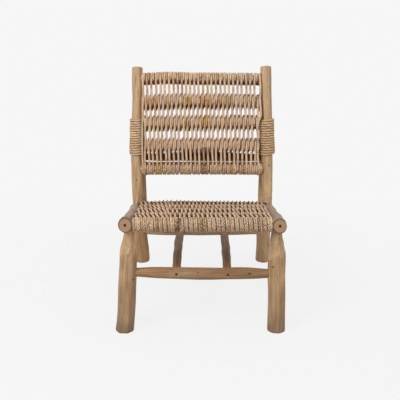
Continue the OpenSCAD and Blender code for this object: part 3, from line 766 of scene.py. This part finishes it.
def teak(name, base, deep, warm, pale, edge=0.0, foot=0.0):
    """Debarked teak: long grain, warm and pale patches, drying cracks, knots and ringed end grain."""
    dark = (66, 42, 26)
    m = Shader(bpy.data.materials.new(name))
    grain = m.attribute("grain", "Vector")
    fine = m.noise(grain, (420, 420, 9), 6, 0.62)
    streak = m.noise(grain, (120, 120, 3.2), 5, 0.6, 0.6)
    patch = m.noise(grain, (26, 26, 7), 3, 0.5)
    colour = m.mix(m.ramp(streak, 0.36, 0.66), deep, base)
    colour = m.over(colour, patch, 0.5, 0.72, 0.75, warm)
    colour = m.over(colour, m.noise(grain, (14, 14, 11), 2, 0.5), 0.52, 0.74, 0.6, pale)
    # Weathered grey from the grey attribute; on the braces it is painted light falling from behind
    colour = m.mix(m.times(m.attribute("grey"), 0.75), colour, (166, 148, 136))
    colour = m.over(colour, m.attribute("fresh"), 0.2, 1.0, 0.35, (216, 184, 146))
    colour = m.over(colour, m.noise(grain, (70, 70, 28), 4, 0.65), 0.52, 0.7, 0.4, deep)
    radial = m.attribute("radial", "Vector")
    x, y, height = m.node("SeparateXYZ", radial).outputs
    if foot:
        low = m.math("ADD", height, m.times(patch, 0.1))
        colour = m.mix(m.ramp(low, 0.04, 0.14, foot, 0.0), colour, (126, 98, 78))
    toned = m.times(m.ramp(fine, 0.32, 0.62, 0.74, 1.08), m.ramp(m.attribute("tone"), 0, 1, 0.82, 1.18))
    colour = m.mix(1.0, colour, m.node("CombineColor", toned, toned, toned), "MULTIPLY")

    # Drying cracks: thin lines where a slow noise crosses its middle value, here and there
    vein = m.noise(grain, (60, 60, 2.0), 1, 0.4)
    line = m.ramp(m.math("ABSOLUTE", m.math("SUBTRACT", vein, 0.5)), 0.0, 0.01, 1.0, 0.0)
    crack = m.times(line, m.ramp(m.noise(grain, (20, 20, 8), 1), 0.58, 0.68, 0.0, 0.8))

    # End grain: rings, a reddish heart, pores and a dark rim
    length = m.math("LENGTH", m.node("CombineXYZ", x, y), kind="VectorMath").outputs["Value"]
    distance = m.math("ADD", length, m.times(m.noise(radial, (90, 90, 90)), 0.0022))
    rings = m.math("SINE", m.times(distance, 2900.0))
    end_colour = m.mix(m.ramp(rings, -1, 1, 0.0, 0.35), (176, 142, 110), (150, 116, 86))
    end_colour = m.mix(m.ramp(length, 0.0034, 0.0085, 0.9, 0.0), end_colour, (182, 116, 74))
    end_colour = m.over(end_colour, m.noise(grain, (1400, 1400, 1400)), 0.5, 0.7, 0.5, deep)
    end_colour = m.over(end_colour, distance, 0.0188, 0.0218, 0.95 * edge, (96, 78, 60))
    colour = m.mix(m.ramp(height, 0.0015, 0.006, edge, 0.0), colour, (104, 78, 58))
    colour = m.mix(m.attribute("cut"), colour, end_colour)

    colour = m.mix(m.times(crack, 0.7), colour, dark)
    colour = m.over(colour, m.noise(grain, (260, 260, 110), 1), 0.74, 0.8, 0.7, dark)
    colour = m.over(colour, m.attribute("mark"), 0.25, 0.95, 0.85, dark)
    relief = m.math("ADD", m.times(fine, 0.55), m.times(streak, 0.6))
    relief = m.math("SUBTRACT", relief, m.times(crack, 0.9))
    return m.surface("BsdfPrincipled", Base_Color=colour, Roughness=m.ramp(streak, 0.3, 0.7, 0.72, 0.56),
                     Normal=m.bump(relief, 0.55), IOR=1.45)


def rope_material():
    """Laid plant fibre: fine fibres along each ply, with painted shade and dark grime between plies, and
    painted shade on the sides where ropes touch and in recesses.
    """
    m = Shader(bpy.data.materials.new("rope"))
    lay = m.attribute("lay", "Vector")
    fibre = m.noise(lay, (90, 8.0, 8.0), 5, 0.7)
    clump = m.noise(lay, (40, 1.6, 1.6), 3, 0.6)
    valley = m.attribute("valley")
    colour = m.over(m.attribute("tint", "Color"), fibre, 0.5, 0.68, 0.45, (160, 116, 78))
    colour = m.over(colour, clump, 0.54, 0.72, 0.45, (150, 106, 70))
    colour = m.over(colour, m.noise(lay, (90, 2.6, 2.6)), 0.52, 0.62, 0.9, (255, 240, 209))
    colour = m.over(colour, m.noise(lay, (95, 2.9, 2.9), 1), 0.565, 0.65, 0.9, (104, 54, 23))
    # Painted shade and dark grime in the grooves between plies
    colour = m.over(colour, valley, 0.35, 0.95, 0.75, (112, 60, 27))
    # Painted shade on the flanks that face neighbouring ropes, mottled by the clumps
    painted_side_shade = m.times(m.ramp(m.attribute("flank"), 0.72, 1.0), m.ramp(clump, 0.36, 0.6, 0.35, 0.85))
    colour = m.mix(painted_side_shade, colour, (90, 56, 32))
    # Painted shade: the deeper a point lies below the skins round the rods, the darker brown it is painted
    sunk = m.ramp(m.attribute("deep"), 0.0026, 0.0085, 0.0, 0.92)
    colour = m.mix(m.times(sunk, m.ramp(clump, 0.34, 0.56, 0.62, 1.0)), colour, (124, 68, 31))
    relief = m.math("SUBTRACT", fibre, m.times(valley, 0.25))
    return m.surface("BsdfPrincipled", Base_Color=colour, Roughness=0.8, Normal=m.bump(relief, 0.9), IOR=1.4)


def steel_material():
    m = Shader(bpy.data.materials.new("screw_steel"))
    spots = m.noise(m.node("TexCoord").outputs["Object"], (900, 900, 900), 3)
    colour = m.mix(m.ramp(spots, 0.4, 0.7), (92, 58, 36), (58, 36, 24))
    rough = m.ramp(spots, 0.3, 0.7, 0.6, 0.85)
    return m.surface("BsdfPrincipled", Base_Color=colour, Metallic=0.25, Roughness=rough)


LIGHT = teak("light_teak", (204, 172, 130), (178, 142, 104), (206, 162, 122), (210, 182, 134))
RAIL = teak("rail_teak", (196, 160, 124), (166, 132, 100), (196, 150, 116), (200, 172, 132), edge=0.85)
GREY = teak("grey_teak", (190, 156, 118), (162, 128, 94), (188, 144, 106), (200, 172, 126), foot=0.6)
PALE = teak("pale_teak", (214, 179, 139), (186, 150, 114), (206, 164, 126), (220, 192, 150))
BROWN = teak("brown_teak", (187, 147, 106), (156, 116, 80), (180, 136, 98), (184, 158, 118))
DARK = teak("dark_teak", (174, 129, 78), (124, 86, 50), (162, 110, 66), (166, 132, 92))
SHADE = teak("shaded_teak", (120, 80, 48), (90, 56, 32), (116, 74, 42), (124, 88, 56))
ROPE = rope_material()
STEEL = steel_material()


# The camera, the floor and the lights

def add_camera():
    data = bpy.data.cameras.new("camera")
    data.sensor_width = SENSOR_MM
    data.lens = FOCAL_PX / IMAGE_PX * SENSOR_MM
    data.shift_x = (IMAGE_PX / 2 - CENTRE_PX) / IMAGE_PX
    data.clip_start = 0.05
    camera = add_object("camera", data)
    camera.location = Vector(CAMERA_AT) + Vector(SHIFT)
    camera.rotation_euler = (math.radians(90 - CAMERA_PITCH), 0, 0)
    bpy.context.scene.camera = camera


def seen_directly(m):
    """1 for rays that show the background: from the camera, or by way of gloss or glass."""
    path = m.node("LightPath").outputs
    seen = m.math("MAXIMUM", path["Is Camera Ray"], path["Is Glossy Ray"])
    return m.math("MAXIMUM", seen, path["Is Transmission Ray"])


BACKDROP = (246, 246, 246)
FLOOR_COLOUR = (244, 243, 241)
FLOOR_BOUNCE = (196, 190, 184)
FLOOR_SHADOW = 0.1
FLOOR_FADE = (0.5, 1.9)
WORLD_LIGHT = 0.54


def add_floor():
    m = Shader(bpy.data.materials.new("floor"))
    place = m.node("NewGeometry").outputs["Position"]
    away = m.math("DISTANCE", place, tuple(SHIFT), kind="VectorMath").outputs["Value"]
    glow, lit = m.node("Emission", BACKDROP, 1.0), m.node("BsdfDiffuse", FLOOR_COLOUR)
    shown = m.node("MixShader", m.ramp(away, *FLOOR_FADE, FLOOR_SHADOW, 0.0), glow, lit)
    m.surface("MixShader", seen_directly(m), m.node("BsdfDiffuse", FLOOR_BOUNCE), shown)
    mesh = bpy.data.meshes.new("floor")
    reach = 30.0
    corners = [(-reach, -reach, 0), (reach, -reach, 0), (reach, reach, 0), (-reach, reach, 0)]
    mesh.from_pydata(corners, [], [(0, 1, 2, 3)])
    mesh.materials.append(m.owner)
    floor = add_object("floor", mesh)


def add_world():
    m = Shader(bpy.data.worlds.new("world"), "OutputWorld")
    light = m.node("Background", (255, 255, 255), WORLD_LIGHT)
    shown = m.node("Background", BACKDROP, 1.0)
    bpy.context.scene.world = m.surface("MixShader", seen_directly(m), light, shown)


def add_softbox(name, at, aim, size, power):
    data = bpy.data.lights.new(name, "AREA")
    data.shape = "RECTANGLE"
    data.size = data.size_y = size
    data.energy = power
    lamp = add_object(name, data)
    lamp.location = Vector(at) + Vector(SHIFT)
    lamp.rotation_euler = (Vector(aim) - Vector(at)).to_track_quat("-Z", "Y").to_euler()


# The pieces

# Side rails: their radius at places along y
RAIL_KEYS = ((-0.03, 0.0243), (-0.008, 0.023), (0.04, 0.0218), (0.2, 0.0214), (0.56, RAIL_RADII[1]))
# Their front ends: growth in width and in height, shifts to the left and up, and what their radius lacks
OVAL_ENDS = {LEFT: (-0.055, 0.085, 0.0007, 0.0009, 0.0), RIGHT: (-0.02, 0.03, 0.0, 0.0, 0.0006)}


def oval_end(side):
    """Makes the front end of a rail a little taller than wide."""
    wide, tall, left, up, _ = OVAL_ENDS[side]

    def shape(points):
        share = np.clip((0.06 - points[:, 1]) / 0.08, 0, 1)
        off = points - [rail_at(side, y) for y in points[:, 1]]
        shaped = points.copy()
        shaped[:, 0] += share * (wide * off[:, 0] - left)
        shaped[:, 2] += share * (tall * off[:, 2] + up)
        return shaped
    return shape


def make_rails():
    for side, word in SIDES:
        keys = ((RAIL_FRONT_Y, RAIL_RADII[0] - OVAL_ENDS[side][4]), *RAIL_KEYS)
        log_piece(
            "side_rail_" + word, [(rail_at(side, y), r) for y, r in keys], "light_teak", RAIL, pith=True,
            caps=(True, False), tone=0.36 if side == LEFT else 0.28, shape=oval_end(side), round_end=0.0018,
            knots=[(0.31, 2.2, 0.007, 0.0012), (0.47, 5.0, 0.006, 0.001)], grey=(0.9, 0.5)
        )


# Posts: distance from the root and radius up to the end of the neck, and the radii at two heights above it
POST_NECK = ((0.0, 0.015), (0.022, 0.0152), (0.045, 0.0172), (0.075, 0.019), (0.11, 0.02))
POST_RADII_Z = (0.45, 0.75)
POST_RADII = {LEFT: (0.0208, 0.0198), RIGHT: (0.0207, 0.0213)}
POST_FLAWS = {
    LEFT: dict(
        knots=[(0.4, 3.5, 0.006, 0.001), (0.105, 4.75, 0.005, 0.0006), (0.33, 1.7, 0.004, 0.0006)],
        cracks=[(0.375, 5.25, 0.075, 0.0008), (0.13, 4.2, 0.03, 0.0006)]
    ),
    RIGHT: dict(
        knots=[(0.36, 1.2, 0.006, 0.001), (0.16, 5.0, 0.005, 0.0008), (0.457, 5.2, 0.004, 0.0006)],
        cracks=[(0.44, 5.35, 0.035, 0.0009), (0.185, 5.0, 0.014, 0.0008), (0.06, 5.1, 0.03, 0.0008)]
    ),
}


def post_radius(side, z):
    """Radius of a post above its neck."""
    return float(np.interp(z, POST_RADII_Z, POST_RADII[side]))


def make_posts():
    for side, word in SIDES:
        root, top = post_ends(side)
        length = np.linalg.norm(top - root)
        keys = [(lerp(root, top, s / length), r) for s, r in POST_NECK]
        upper = [lerp(root, top, s / length) for s in (0.15, 0.22, 0.3, 0.4, length)]
        keys += [(point, post_radius(side, point[2])) for point in upper]
        log_piece(
            "back_post_" + word, keys, "light_teak", LIGHT, ref=(1, 0, 0), caps=(False, True), around=96,
            tone=(0.62, 0.53), round_end=0.001, hewn=(0.085, 0.02, 7, 0.0202, 0.015), **POST_FLAWS[side]
        )


# Front legs: height, distance of the axis from the centre plane, and radius
LEG_SHAPES = {
    LEFT: (
        (0.0, 0.2583, 0.0314), (0.035, 0.2546, 0.0305), (0.072, 0.2511, 0.0299), (0.108, 0.2483, 0.0297),
        (0.144, 0.2466, 0.0293), (0.179, 0.2446, 0.029), (0.242, 0.2405, 0.0287), (0.267, 0.24, 0.028),
        (0.284, 0.2392, 0.027), (0.308, 0.237, 0.0234), (0.332, 0.2337, 0.0203), (0.376, 0.2337, 0.0196)
    ),
    RIGHT: (
        (0.0, 0.2472, 0.0297), (0.035, 0.2468, 0.0293), (0.072, 0.2459, 0.029), (0.108, 0.2452, 0.0289),
        (0.144, 0.2445, 0.0291), (0.179, 0.2435, 0.0293), (0.242, 0.2419, 0.0291), (0.262, 0.2419, 0.0284),
        (0.284, 0.2416, 0.0268), (0.308, 0.2412, 0.0226), (0.332, 0.2395, 0.0187), (0.376, 0.2395, 0.018)
    ),
}
# Their hewn necks, whose flats start at a shoulder, and the tones and flaws of each leg
SHOULDER_Z = 0.267
LEG_NECK = (0.345, 7, 0.0292, 0.0158)
LEG_LOOKS = {
    LEFT: dict(
        tone=(0.0, 0.02, 0.46, 0.86, 1.0), hewn=(SHOULDER_Z, *LEG_NECK), knots=[(0.19, 5.5, 0.006, 0.001)],
        cracks=[(0.075, 4.85, 0.04, 0.0009), (0.06, 4.55, 0.02, 0.0008)]
    ),
    RIGHT: dict(
        tone=(0.5, 0.46, 0.46, 0.95, 1.0, 0.46, 0.4), hewn=(SHOULDER_Z - 0.006, *LEG_NECK),
        knots=[(0.235, 4.2, 0.005, 0.0006)],
        cracks=[(0.056, 5.3, 0.012, 0.0015), (0.13, 4.75, 0.035, 0.0008)]
    ),
}


def make_front_legs():
    for side, word in SIDES:
        keys = [((side * x, 0.0, z), r) for z, x, r in LEG_SHAPES[side]]
        log_piece("front_leg_" + word, keys, "grey_teak", GREY, level=True, caps=(True, False), rough=0.0004,
                  wander=0.0002, round_end=0.001, around=96, soften=2, step=0.0035, **LEG_LOOKS[side])


def against_post(side):
    """Cuts a rear leg's top back to the post, as its long bevel does."""
    root, top = post_ends(side)
    along = (top - root) / np.linalg.norm(top - root)
    back = np.array([0, 1.0, 0]) - along[1] * along
    back /= np.linalg.norm(back)
    across = np.cross(along, back)

    def shape(points):
        local = points - root
        depth = local @ back
        width = local @ across
        seat = np.sqrt(np.maximum((POST_R + POST_GAP) ** 2 - width ** 2, 0))
        push = np.where((np.abs(width) < POST_R) & (depth < seat), seat - depth, 0)
        return points + push[:, None] * back
    return shape


def make_rear_legs():
    for side, word in SIDES:
        keys = [(rear_leg_at(side, z), r) for z, r in REAR_LOWER[side] + REAR_UPPER]
        log_piece(
            "rear_leg_" + word, keys, "brown_teak", BROWN if side == LEFT else PALE, level=True, soften=3,
            caps=(True, True), tone=1.0, rough=0.0007, round_end=0.001, wander=0.0005, grey=(0.1, 0.0),
            knots=[(0.33, 4.6, 0.008, 0.0014), (0.12, 1.5, 0.006, 0.001)], shape=against_post(side)
        )


def make_crossing(node, y, z, bar, *looks, **options):
    """Round bar across the chair, along keys of (x, height above z, radius)."""
    log_piece(node, [((x, y, z + up), r) for x, up, r in bar], *looks, **options)


def screw_holes(low_x, rear, floor_r):
    """Sunk holes of the brace screws, along a stretcher that starts at low_x."""
    slope = math.atan2(FRONT_BAR_Z - REAR_BAR_Z, rear_leg_at(RIGHT, REAR_BAR_Z)[1])
    turn = math.radians(270 if rear else 90) - slope
    return [(x - low_x, turn, SCREW_HOLE_R, floor_r) for x in (-BRACE_X[rear], BRACE_X[rear])]


def make_crossings():
    bar = (
        (-0.232, 0.0052, 0.0128), (-0.213, 0.005, 0.0145), (-0.187, 0.0046, 0.0161), (-0.17, 0.0044, 0.0173),
        (-0.138, 0.0042, 0.0184), (-0.105, 0.0034, 0.0189), (-0.04, 0.0016, 0.0198), (-0.007, 0.001, 0.0203),
        (0.026, 0.0005, 0.0199), (0.058, 0.0006, 0.0193), (0.124, 0.0008, 0.0193), (0.156, 0.001, 0.0185),
        (0.176, 0.001, 0.0175), (0.189, 0.001, 0.0165), (0.209, 0.001, 0.015), (0.232, 0.001, 0.013),
    )
    make_crossing(
        "front_stretcher", 0.0, 0.201, bar, "brown_teak", BROWN, tone=(0.46, 0.0), rough=0.0005, around=128,
        step=0.0016, soften=6, wander=0.0006, holes=screw_holes(bar[0][0], 0, 0.0158),
        knots=[(0.218, 1.05, 0.004, 0.0005), (0.163, 1.9, 0.004, 0.0004), (0.385, 1.2, 0.006, 0.0008)],
        cracks=[(0.247, 1.75, 0.03, 0.0007), (0.418, 1.4, 0.02, 0.0008), (0.06, 1.3, 0.025, 0.0006)]
    )
    bar = ((-0.235, 0, 0.014), (-0.2, 0, 0.015), (-0.13, 0, 0.0162), (-0.06, 0, 0.0169), (0.0, 0, 0.0171),
           (0.06, 0, 0.0168), (0.13, 0.0006, 0.016), (0.2, 0.001, 0.0148), (0.235, 0.001, 0.014))
    make_crossing(
        "rear_stretcher", rear_leg_at(RIGHT, REAR_BAR_Z)[1], REAR_BAR_Z, bar, "dark_teak", LIGHT, tone=0.8,
        grey=(0.4, 0.4), around=96, step=0.002, wander=0.0006, holes=screw_holes(bar[0][0], 1, 0.0127)
    )
    bar = ((-0.238, 0.0027, 0.0128), (-0.19, 0.0027, 0.0135), (-0.12, 0.0038, 0.0168), (0, 0.0034, 0.0183),
           (0.12, 0.0034, 0.0175), (0.19, 0.0018, 0.0145), (0.238, 0.0018, 0.0135))
    y = rear_leg_at(RIGHT, CROSSBAR_Z)[1]
    make_crossing("back_crossbar", y, CROSSBAR_Z, bar, "dark_teak", SHADE, tone=0.8)


def make_braces():
    for side, word in SIDES:
        inward = 0.0 if side == LEFT else 0.0022
        front, rear = (0.0, FRONT_BAR_Z), (rear_leg_at(side, REAR_BAR_Z)[1], REAR_BAR_Z)
        keys = []
        for t in np.linspace(0, 1, 9):
            x = lerp(*BRACE_X, t) + (BRACE_BOW - inward) * 4 * t * (1 - t) - inward * (1 - t) * 0.4
            keys.append(((side * x, *lerp(front, rear, t)), float(lerp(*BRACE_RADII, t))))
        # Painted light: grey rising to 0.25 at the rear ends stands for the pale light from behind on the
        # braces' tops
        log_piece("brace_" + word, keys, "dark_teak", DARK, wander=0.0004, tone=0.3, rough=0.0004, around=48,
                  knots=[(0.2, 1.8, 0.006, 0.0006)], grey=(0.0, 0.25))


# Half lengths of the back's tenoned and loose rods, and how far short of the rails' axes the seat's rods end
TENONED_HALF, LOOSE_HALF = 0.238, 0.2145
LOOSE_RODS = ("back_rod_middle", "back_rod_lower")
SEAT_ROD_SHORT = 0.008


def make_rods():
    for name, (y, z, r, dip, _) in {**SEAT_RODS, **BACK_RODS}.items():
        loose = name in LOOSE_RODS
        half = LOOSE_HALF if loose else TENONED_HALF
        if name in SEAT_RODS:
            half = rail_at(RIGHT, y)[0] - SEAT_ROD_SHORT
        front, rear = name == "seat_front_rail", name == "seat_rear_rail"
        keys = []
        for x in np.linspace(-half, half, 9):
            up = dip(x)
            taper = 0.003 * abs(x / half) ** 3 if name == "back_rod_upper" else 0
            keys.append(((x, y + up[0], z + up[1]), r - 0.0004 - taper + (0.002 if rear else 0)))
        log_piece(
            name, keys, "light_teak", SHADE if rear else LIGHT, caps=(loose, loose), around=40, step=0.008,
            rough=0.0003, wander=0.0004, tone=0.6 if front else 0.3, grey=(0.3, 0.3) if front else (0.0, 0.0)
        )


def seat_limit(k):
    """Where the rope's axis ends at a seat rod, on the left and on the right."""
    y = list(SEAT_RODS.values())[k][0]
    low, high = (rail_at(side, y)[0] - side * (rail_radius(y) + SEAT_ROPE_R) for side in (LEFT, RIGHT))
    return low - 0.001, high + 0.001


def seat_lean(x):
    """How far an end gap of the seat moves a strand."""
    if x < SEAT_FAN_X:
        return -0.018
    return float(np.interp(x, (-0.1, 0.0, 0.12, 0.22), (-0.0055, -0.0045, -0.003, -0.004)))


def make_seat():
    ropes = Ropes("seat_weave")
    rng = np.random.default_rng(11)
    rods = wound_rods(SEAT_RODS.values(), SEAT_ROPE_R)
    # The seat's tints: real stains, a patch of painted shade over the top, and dim 0.86 as painted shade on
    # all its strands
    strand_tints = patched_tints([
        # Painted shade: the strands behind the front rail, over the seat's top, are darker than those down
        # its front
        (-0.3, 0.3, 0.012, 0.5, (188, 156, 132), 0.35),
        (-0.0835, -0.0675, -0.1, SEAT_FRONT_Y - 0.006, (98, 60, 34), 0.95),
        (-0.148, -0.1405, -0.1, SEAT_FRONT_Y, (176, 146, 92), 0.9),
        (-0.004, 0.018, -0.1, SEAT_FRONT_Y, (178, 144, 92), 0.8),
        (0.176, 0.184, -0.1, SEAT_FRONT_Y, (128, 92, 60), 0.7),
    ], 1, 0.3, 0.86)
    weave(ropes, rods, 1, SEAT_PITCH, SEAT_STRAND_R, phase=-0.0729, wrap=-SEAT_PITCH / 2, slant=-0.0039,
          limit=seat_limit, tints=strand_tints, rng=rng, lean=seat_lean, grow=(0.16, 0.345, -0.2), tail=1,
          fan=SEAT_FAN_X)
    # Turns round the left end of the front rail
    y, z, r = rods[0][:3]
    count, pitch, overhang = 3, 0.0068, 0.0035
    turn = np.linspace(0, TURN * 1.1, 70)
    for k in range(count):
        x = seat_limit(0)[0] + pitch * (k + turn / TURN) - overhang
        loop = resample(np.stack([x, y + r * np.cos(turn), z + r * np.sin(turn)], 1), ROPE_STEP)
        ropes.add(loop, strand_tints(rng, loop), SEAT_STRAND_R)
    for k in (1, 2, 3):
        under_winding(ropes, list(SEAT_RODS.values())[k], seat_limit(k), rng)
    ropes.finish([(y, z, r + SEAT_ROPE_R) for y, z, r, _ in rods])


BACK_SLANT = 0.0032
# Where the rope's axis ends at each back rod, on the left and on the right
BACK_LIMITS = ((-0.224, 0.2165), (-0.2235, 0.2175), (-0.214, 0.21), (-0.213, 0.2105), (-0.2195, 0.2195))


def under_winding(ropes, rod, ends, rng):
    """Close helix of rope that thickens a rod under the strands, its tint darkened as painted shade under
    them.
    """
    y, z, r, dip, _ = rod
    turns = int((ends[1] - ends[0]) / (2 * ROPE_R))
    t = np.linspace(0, 1, turns * 20)
    angle = TURN * turns * t
    x = lerp(*ends, t)
    out = r + ROPE_GAP + ROPE_R
    up = np.array([dip(v) for v in x])
    path = np.stack([x, y + up[:, 0] + out * np.cos(angle), z + up[:, 1] + out * np.sin(angle)], 1)
    # Painted shade: the tint is darkened to 0.8 under the strands
    ropes.add(resample(path, UNDER_STEP), rope_tint(rng) * 0.8, step=UNDER_STEP)


def end_loops(ropes, rod, rng):
    """Loops at the ends of the bottom rail, which bulge past the fronts of the posts."""
    y, z, r = rod[:3]
    turn = np.linspace(0, TURN * 1.02, 60)
    for side in (LEFT, RIGHT):
        for k, (inset, bulge) in enumerate(((0.0, 0.0065), (0.005, 0.0045))):
            facing = np.maximum(-np.cos(turn + 0.25 * k), 0)
            x = side * (0.218 - inset - (0.0015 if side == RIGHT else 0)) + side * bulge * facing ** 1.5
            out = r + ROPE_GAP + ROPE_R * (1.15 + 0.5 * k) + 0.001 * facing
            path = np.stack([x, y + out * np.cos(turn), z + out * np.sin(turn)], 1)
            ropes.add(resample(path, ROPE_STEP), rope_tint(rng))


# The back's edge strand: height, distance from the centre plane, and distance in front of the post's axis
EDGE_STRAND = (
    (0.676, 0.2215, 0.02), (0.655, 0.2232, 0.026), (0.62, 0.2238, 0.0262), (0.58, 0.224, 0.0275),
    (0.54, 0.2242, 0.0318), (0.5, 0.224, 0.032), (0.475, 0.2232, 0.03), (0.455, 0.2222, 0.029),
    (0.44, 0.2212, 0.0285)
)


def edge_strand(ropes, rng):
    """Strand that runs down the inner front of the left post, over its lashing."""
    path = []
    for z, x, out in EDGE_STRAND:
        path.append((-x, post_at(LEFT, z)[1] - out * math.cos(POST_LEAN), z + out * math.sin(POST_LEAN)))
    points = resample(smooth_line(resample(np.array(path), 0.002), 12), ROPE_STEP)
    ropes.add(points, tinted_run(rng, len(points)))


def make_back():
    ropes = Ropes("back_weave")
    rng = np.random.default_rng(29)
    rods = wound_rods(BACK_RODS.values(), ROPE_R)
    strand_tints = patched_tints([
        (-0.2, -0.18, 0.728, 0.76, (226, 158, 76), 0.9),
        (-0.123, -0.099, 0.722, 0.766, (228, 150, 64), 0.9),
        (-0.096, -0.08, 0.728, 0.76, (150, 78, 54), 0.8),
        (0.008, 0.03, 0.706, 0.758, (222, 168, 66), 0.8),
        (0.042, 0.056, 0.726, 0.752, (156, 98, 56), 0.7),
        (-0.206, -0.174, 0.655, 0.695, (214, 140, 84), 0.75),
        (-0.06, -0.042, 0.655, 0.698, (202, 156, 74), 0.8),
        (0.001, 0.03, 0.65, 0.692, (208, 138, 74), 0.75),
        (0.042, 0.07, 0.655, 0.69, (200, 140, 86), 0.6),
        (-0.003, 0.024, 0.572, 0.64, (218, 172, 74), 0.85),
        (-0.066, -0.046, 0.572, 0.614, (196, 132, 68), 0.8),
        (0.086, 0.104, 0.64, 0.7, (178, 162, 92), 0.75),
        (-0.002, 0.022, 0.425, 0.52, (156, 108, 56), 0.8),
        (-0.198, -0.186, 0.498, 0.54, (216, 142, 98), 0.75),
        (-0.19, -0.15, 0.42, 0.462, (212, 164, 84), 0.65),
        (0.148, 0.164, 0.425, 0.46, (212, 138, 78), 0.75),
        (0.1, 0.118, 0.425, 0.462, (206, 170, 82), 0.75),
        (-0.21, 0.06, 0.655, 0.67, (198, 162, 86), 0.22),
        (-0.21, 0.06, 0.572, 0.6, (198, 162, 86), 0.22),
        (0.145, 0.21, 0.726, 0.752, (166, 100, 62), 0.45),
    ], 2, 0.08, 1.04)
    weave(ropes, rods, -1, BACK_PITCH, BACK_STRAND_R, phase=0.0042, wrap=-2 * ROPE_R, slant=BACK_SLANT,
          limit=BACK_LIMITS.__getitem__, tints=strand_tints, rng=rng, lean=lambda x: BACK_SLANT,
          grow=(0.13, 9.0, 0.0), uneven=0.0006, lift=0.0015)
    for rod, ends in list(zip(BACK_RODS.values(), BACK_LIMITS))[1:4]:
        under_winding(ropes, rod, ends, rng)
    end_loops(ropes, BACK_RODS["back_bottom_rail"], rng)
    edge_strand(ropes, rng)
    ropes.finish([(y, z, r + ROPE_R) for y, z, r, _ in rods])


def lashing_path(side):
    path = []
    per_turn = 48
    for k in range(LASH_TURNS * per_turn + 1):
        turn = TURN * k / per_turn
        z = LASH_BOTTOM_Z + ROPE_R + LASH_PITCH * k / per_turn
        post, leg = post_at(side, z), rear_leg_at(side, z)
        leg_r, post_r = rear_leg_r(z), post_radius(side, z)
        way = toward(turn)
        on_leg = z < REAR_AXIS_TOP_Z and (leg - post)[:2] @ way + leg_r > post_r
        centre, wood, lean = (leg, leg_r, REAR_LEAN) if on_leg else (post, post_r, POST_LEAN)
        out = wood + 2 * ROPE_GAP + ROPE_R + 0.0004 * math.sin(2.3 * k / per_turn + side) ** 2
        path.append([centre[0] + out * way[0], centre[1] + out * way[1] / math.cos(lean), z])
    return smooth_line(resample(np.array(path), 0.002), 8)


LASHING_TINT = {LEFT: (1.17, 1.15, 1.06), RIGHT: (1.11, 1.06, 0.94)}


def make_lashings():
    for side, word in SIDES:
        ropes = Ropes("lashing_" + word, (0, 0, 1))
        rng = np.random.default_rng(5 + side)
        points = resample(lashing_path(side), ROPE_STEP)
        ropes.add(points, tinted_run(rng, len(points)) * LASHING_TINT[side])
        ropes.finish()


def dress_screws():
    for name in ("front_brace_screws", "rear_brace_screws"):
        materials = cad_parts[name].data.materials
        materials.clear()
        materials.append(STEEL)


add_camera()
add_floor()
add_world()
add_softbox("key", (-1.7, -2.0, 2.6), (0, 0.3, 0.4), 1.4, 57)
add_softbox("fill", (2.4, -1.6, 1.6), (0, 0.3, 0.4), 2.0, 10)
add_softbox("top", (0.0, 0.3, 3.0), (0, 0.3, 0.3), 1.8, 8)
make_rails()
make_posts()
make_front_legs()
make_rear_legs()
make_crossings()
make_braces()
make_rods()
make_seat()
make_back()
make_lashings()
dress_screws()
bpy.context.scene.view_settings.view_transform = "Standard"
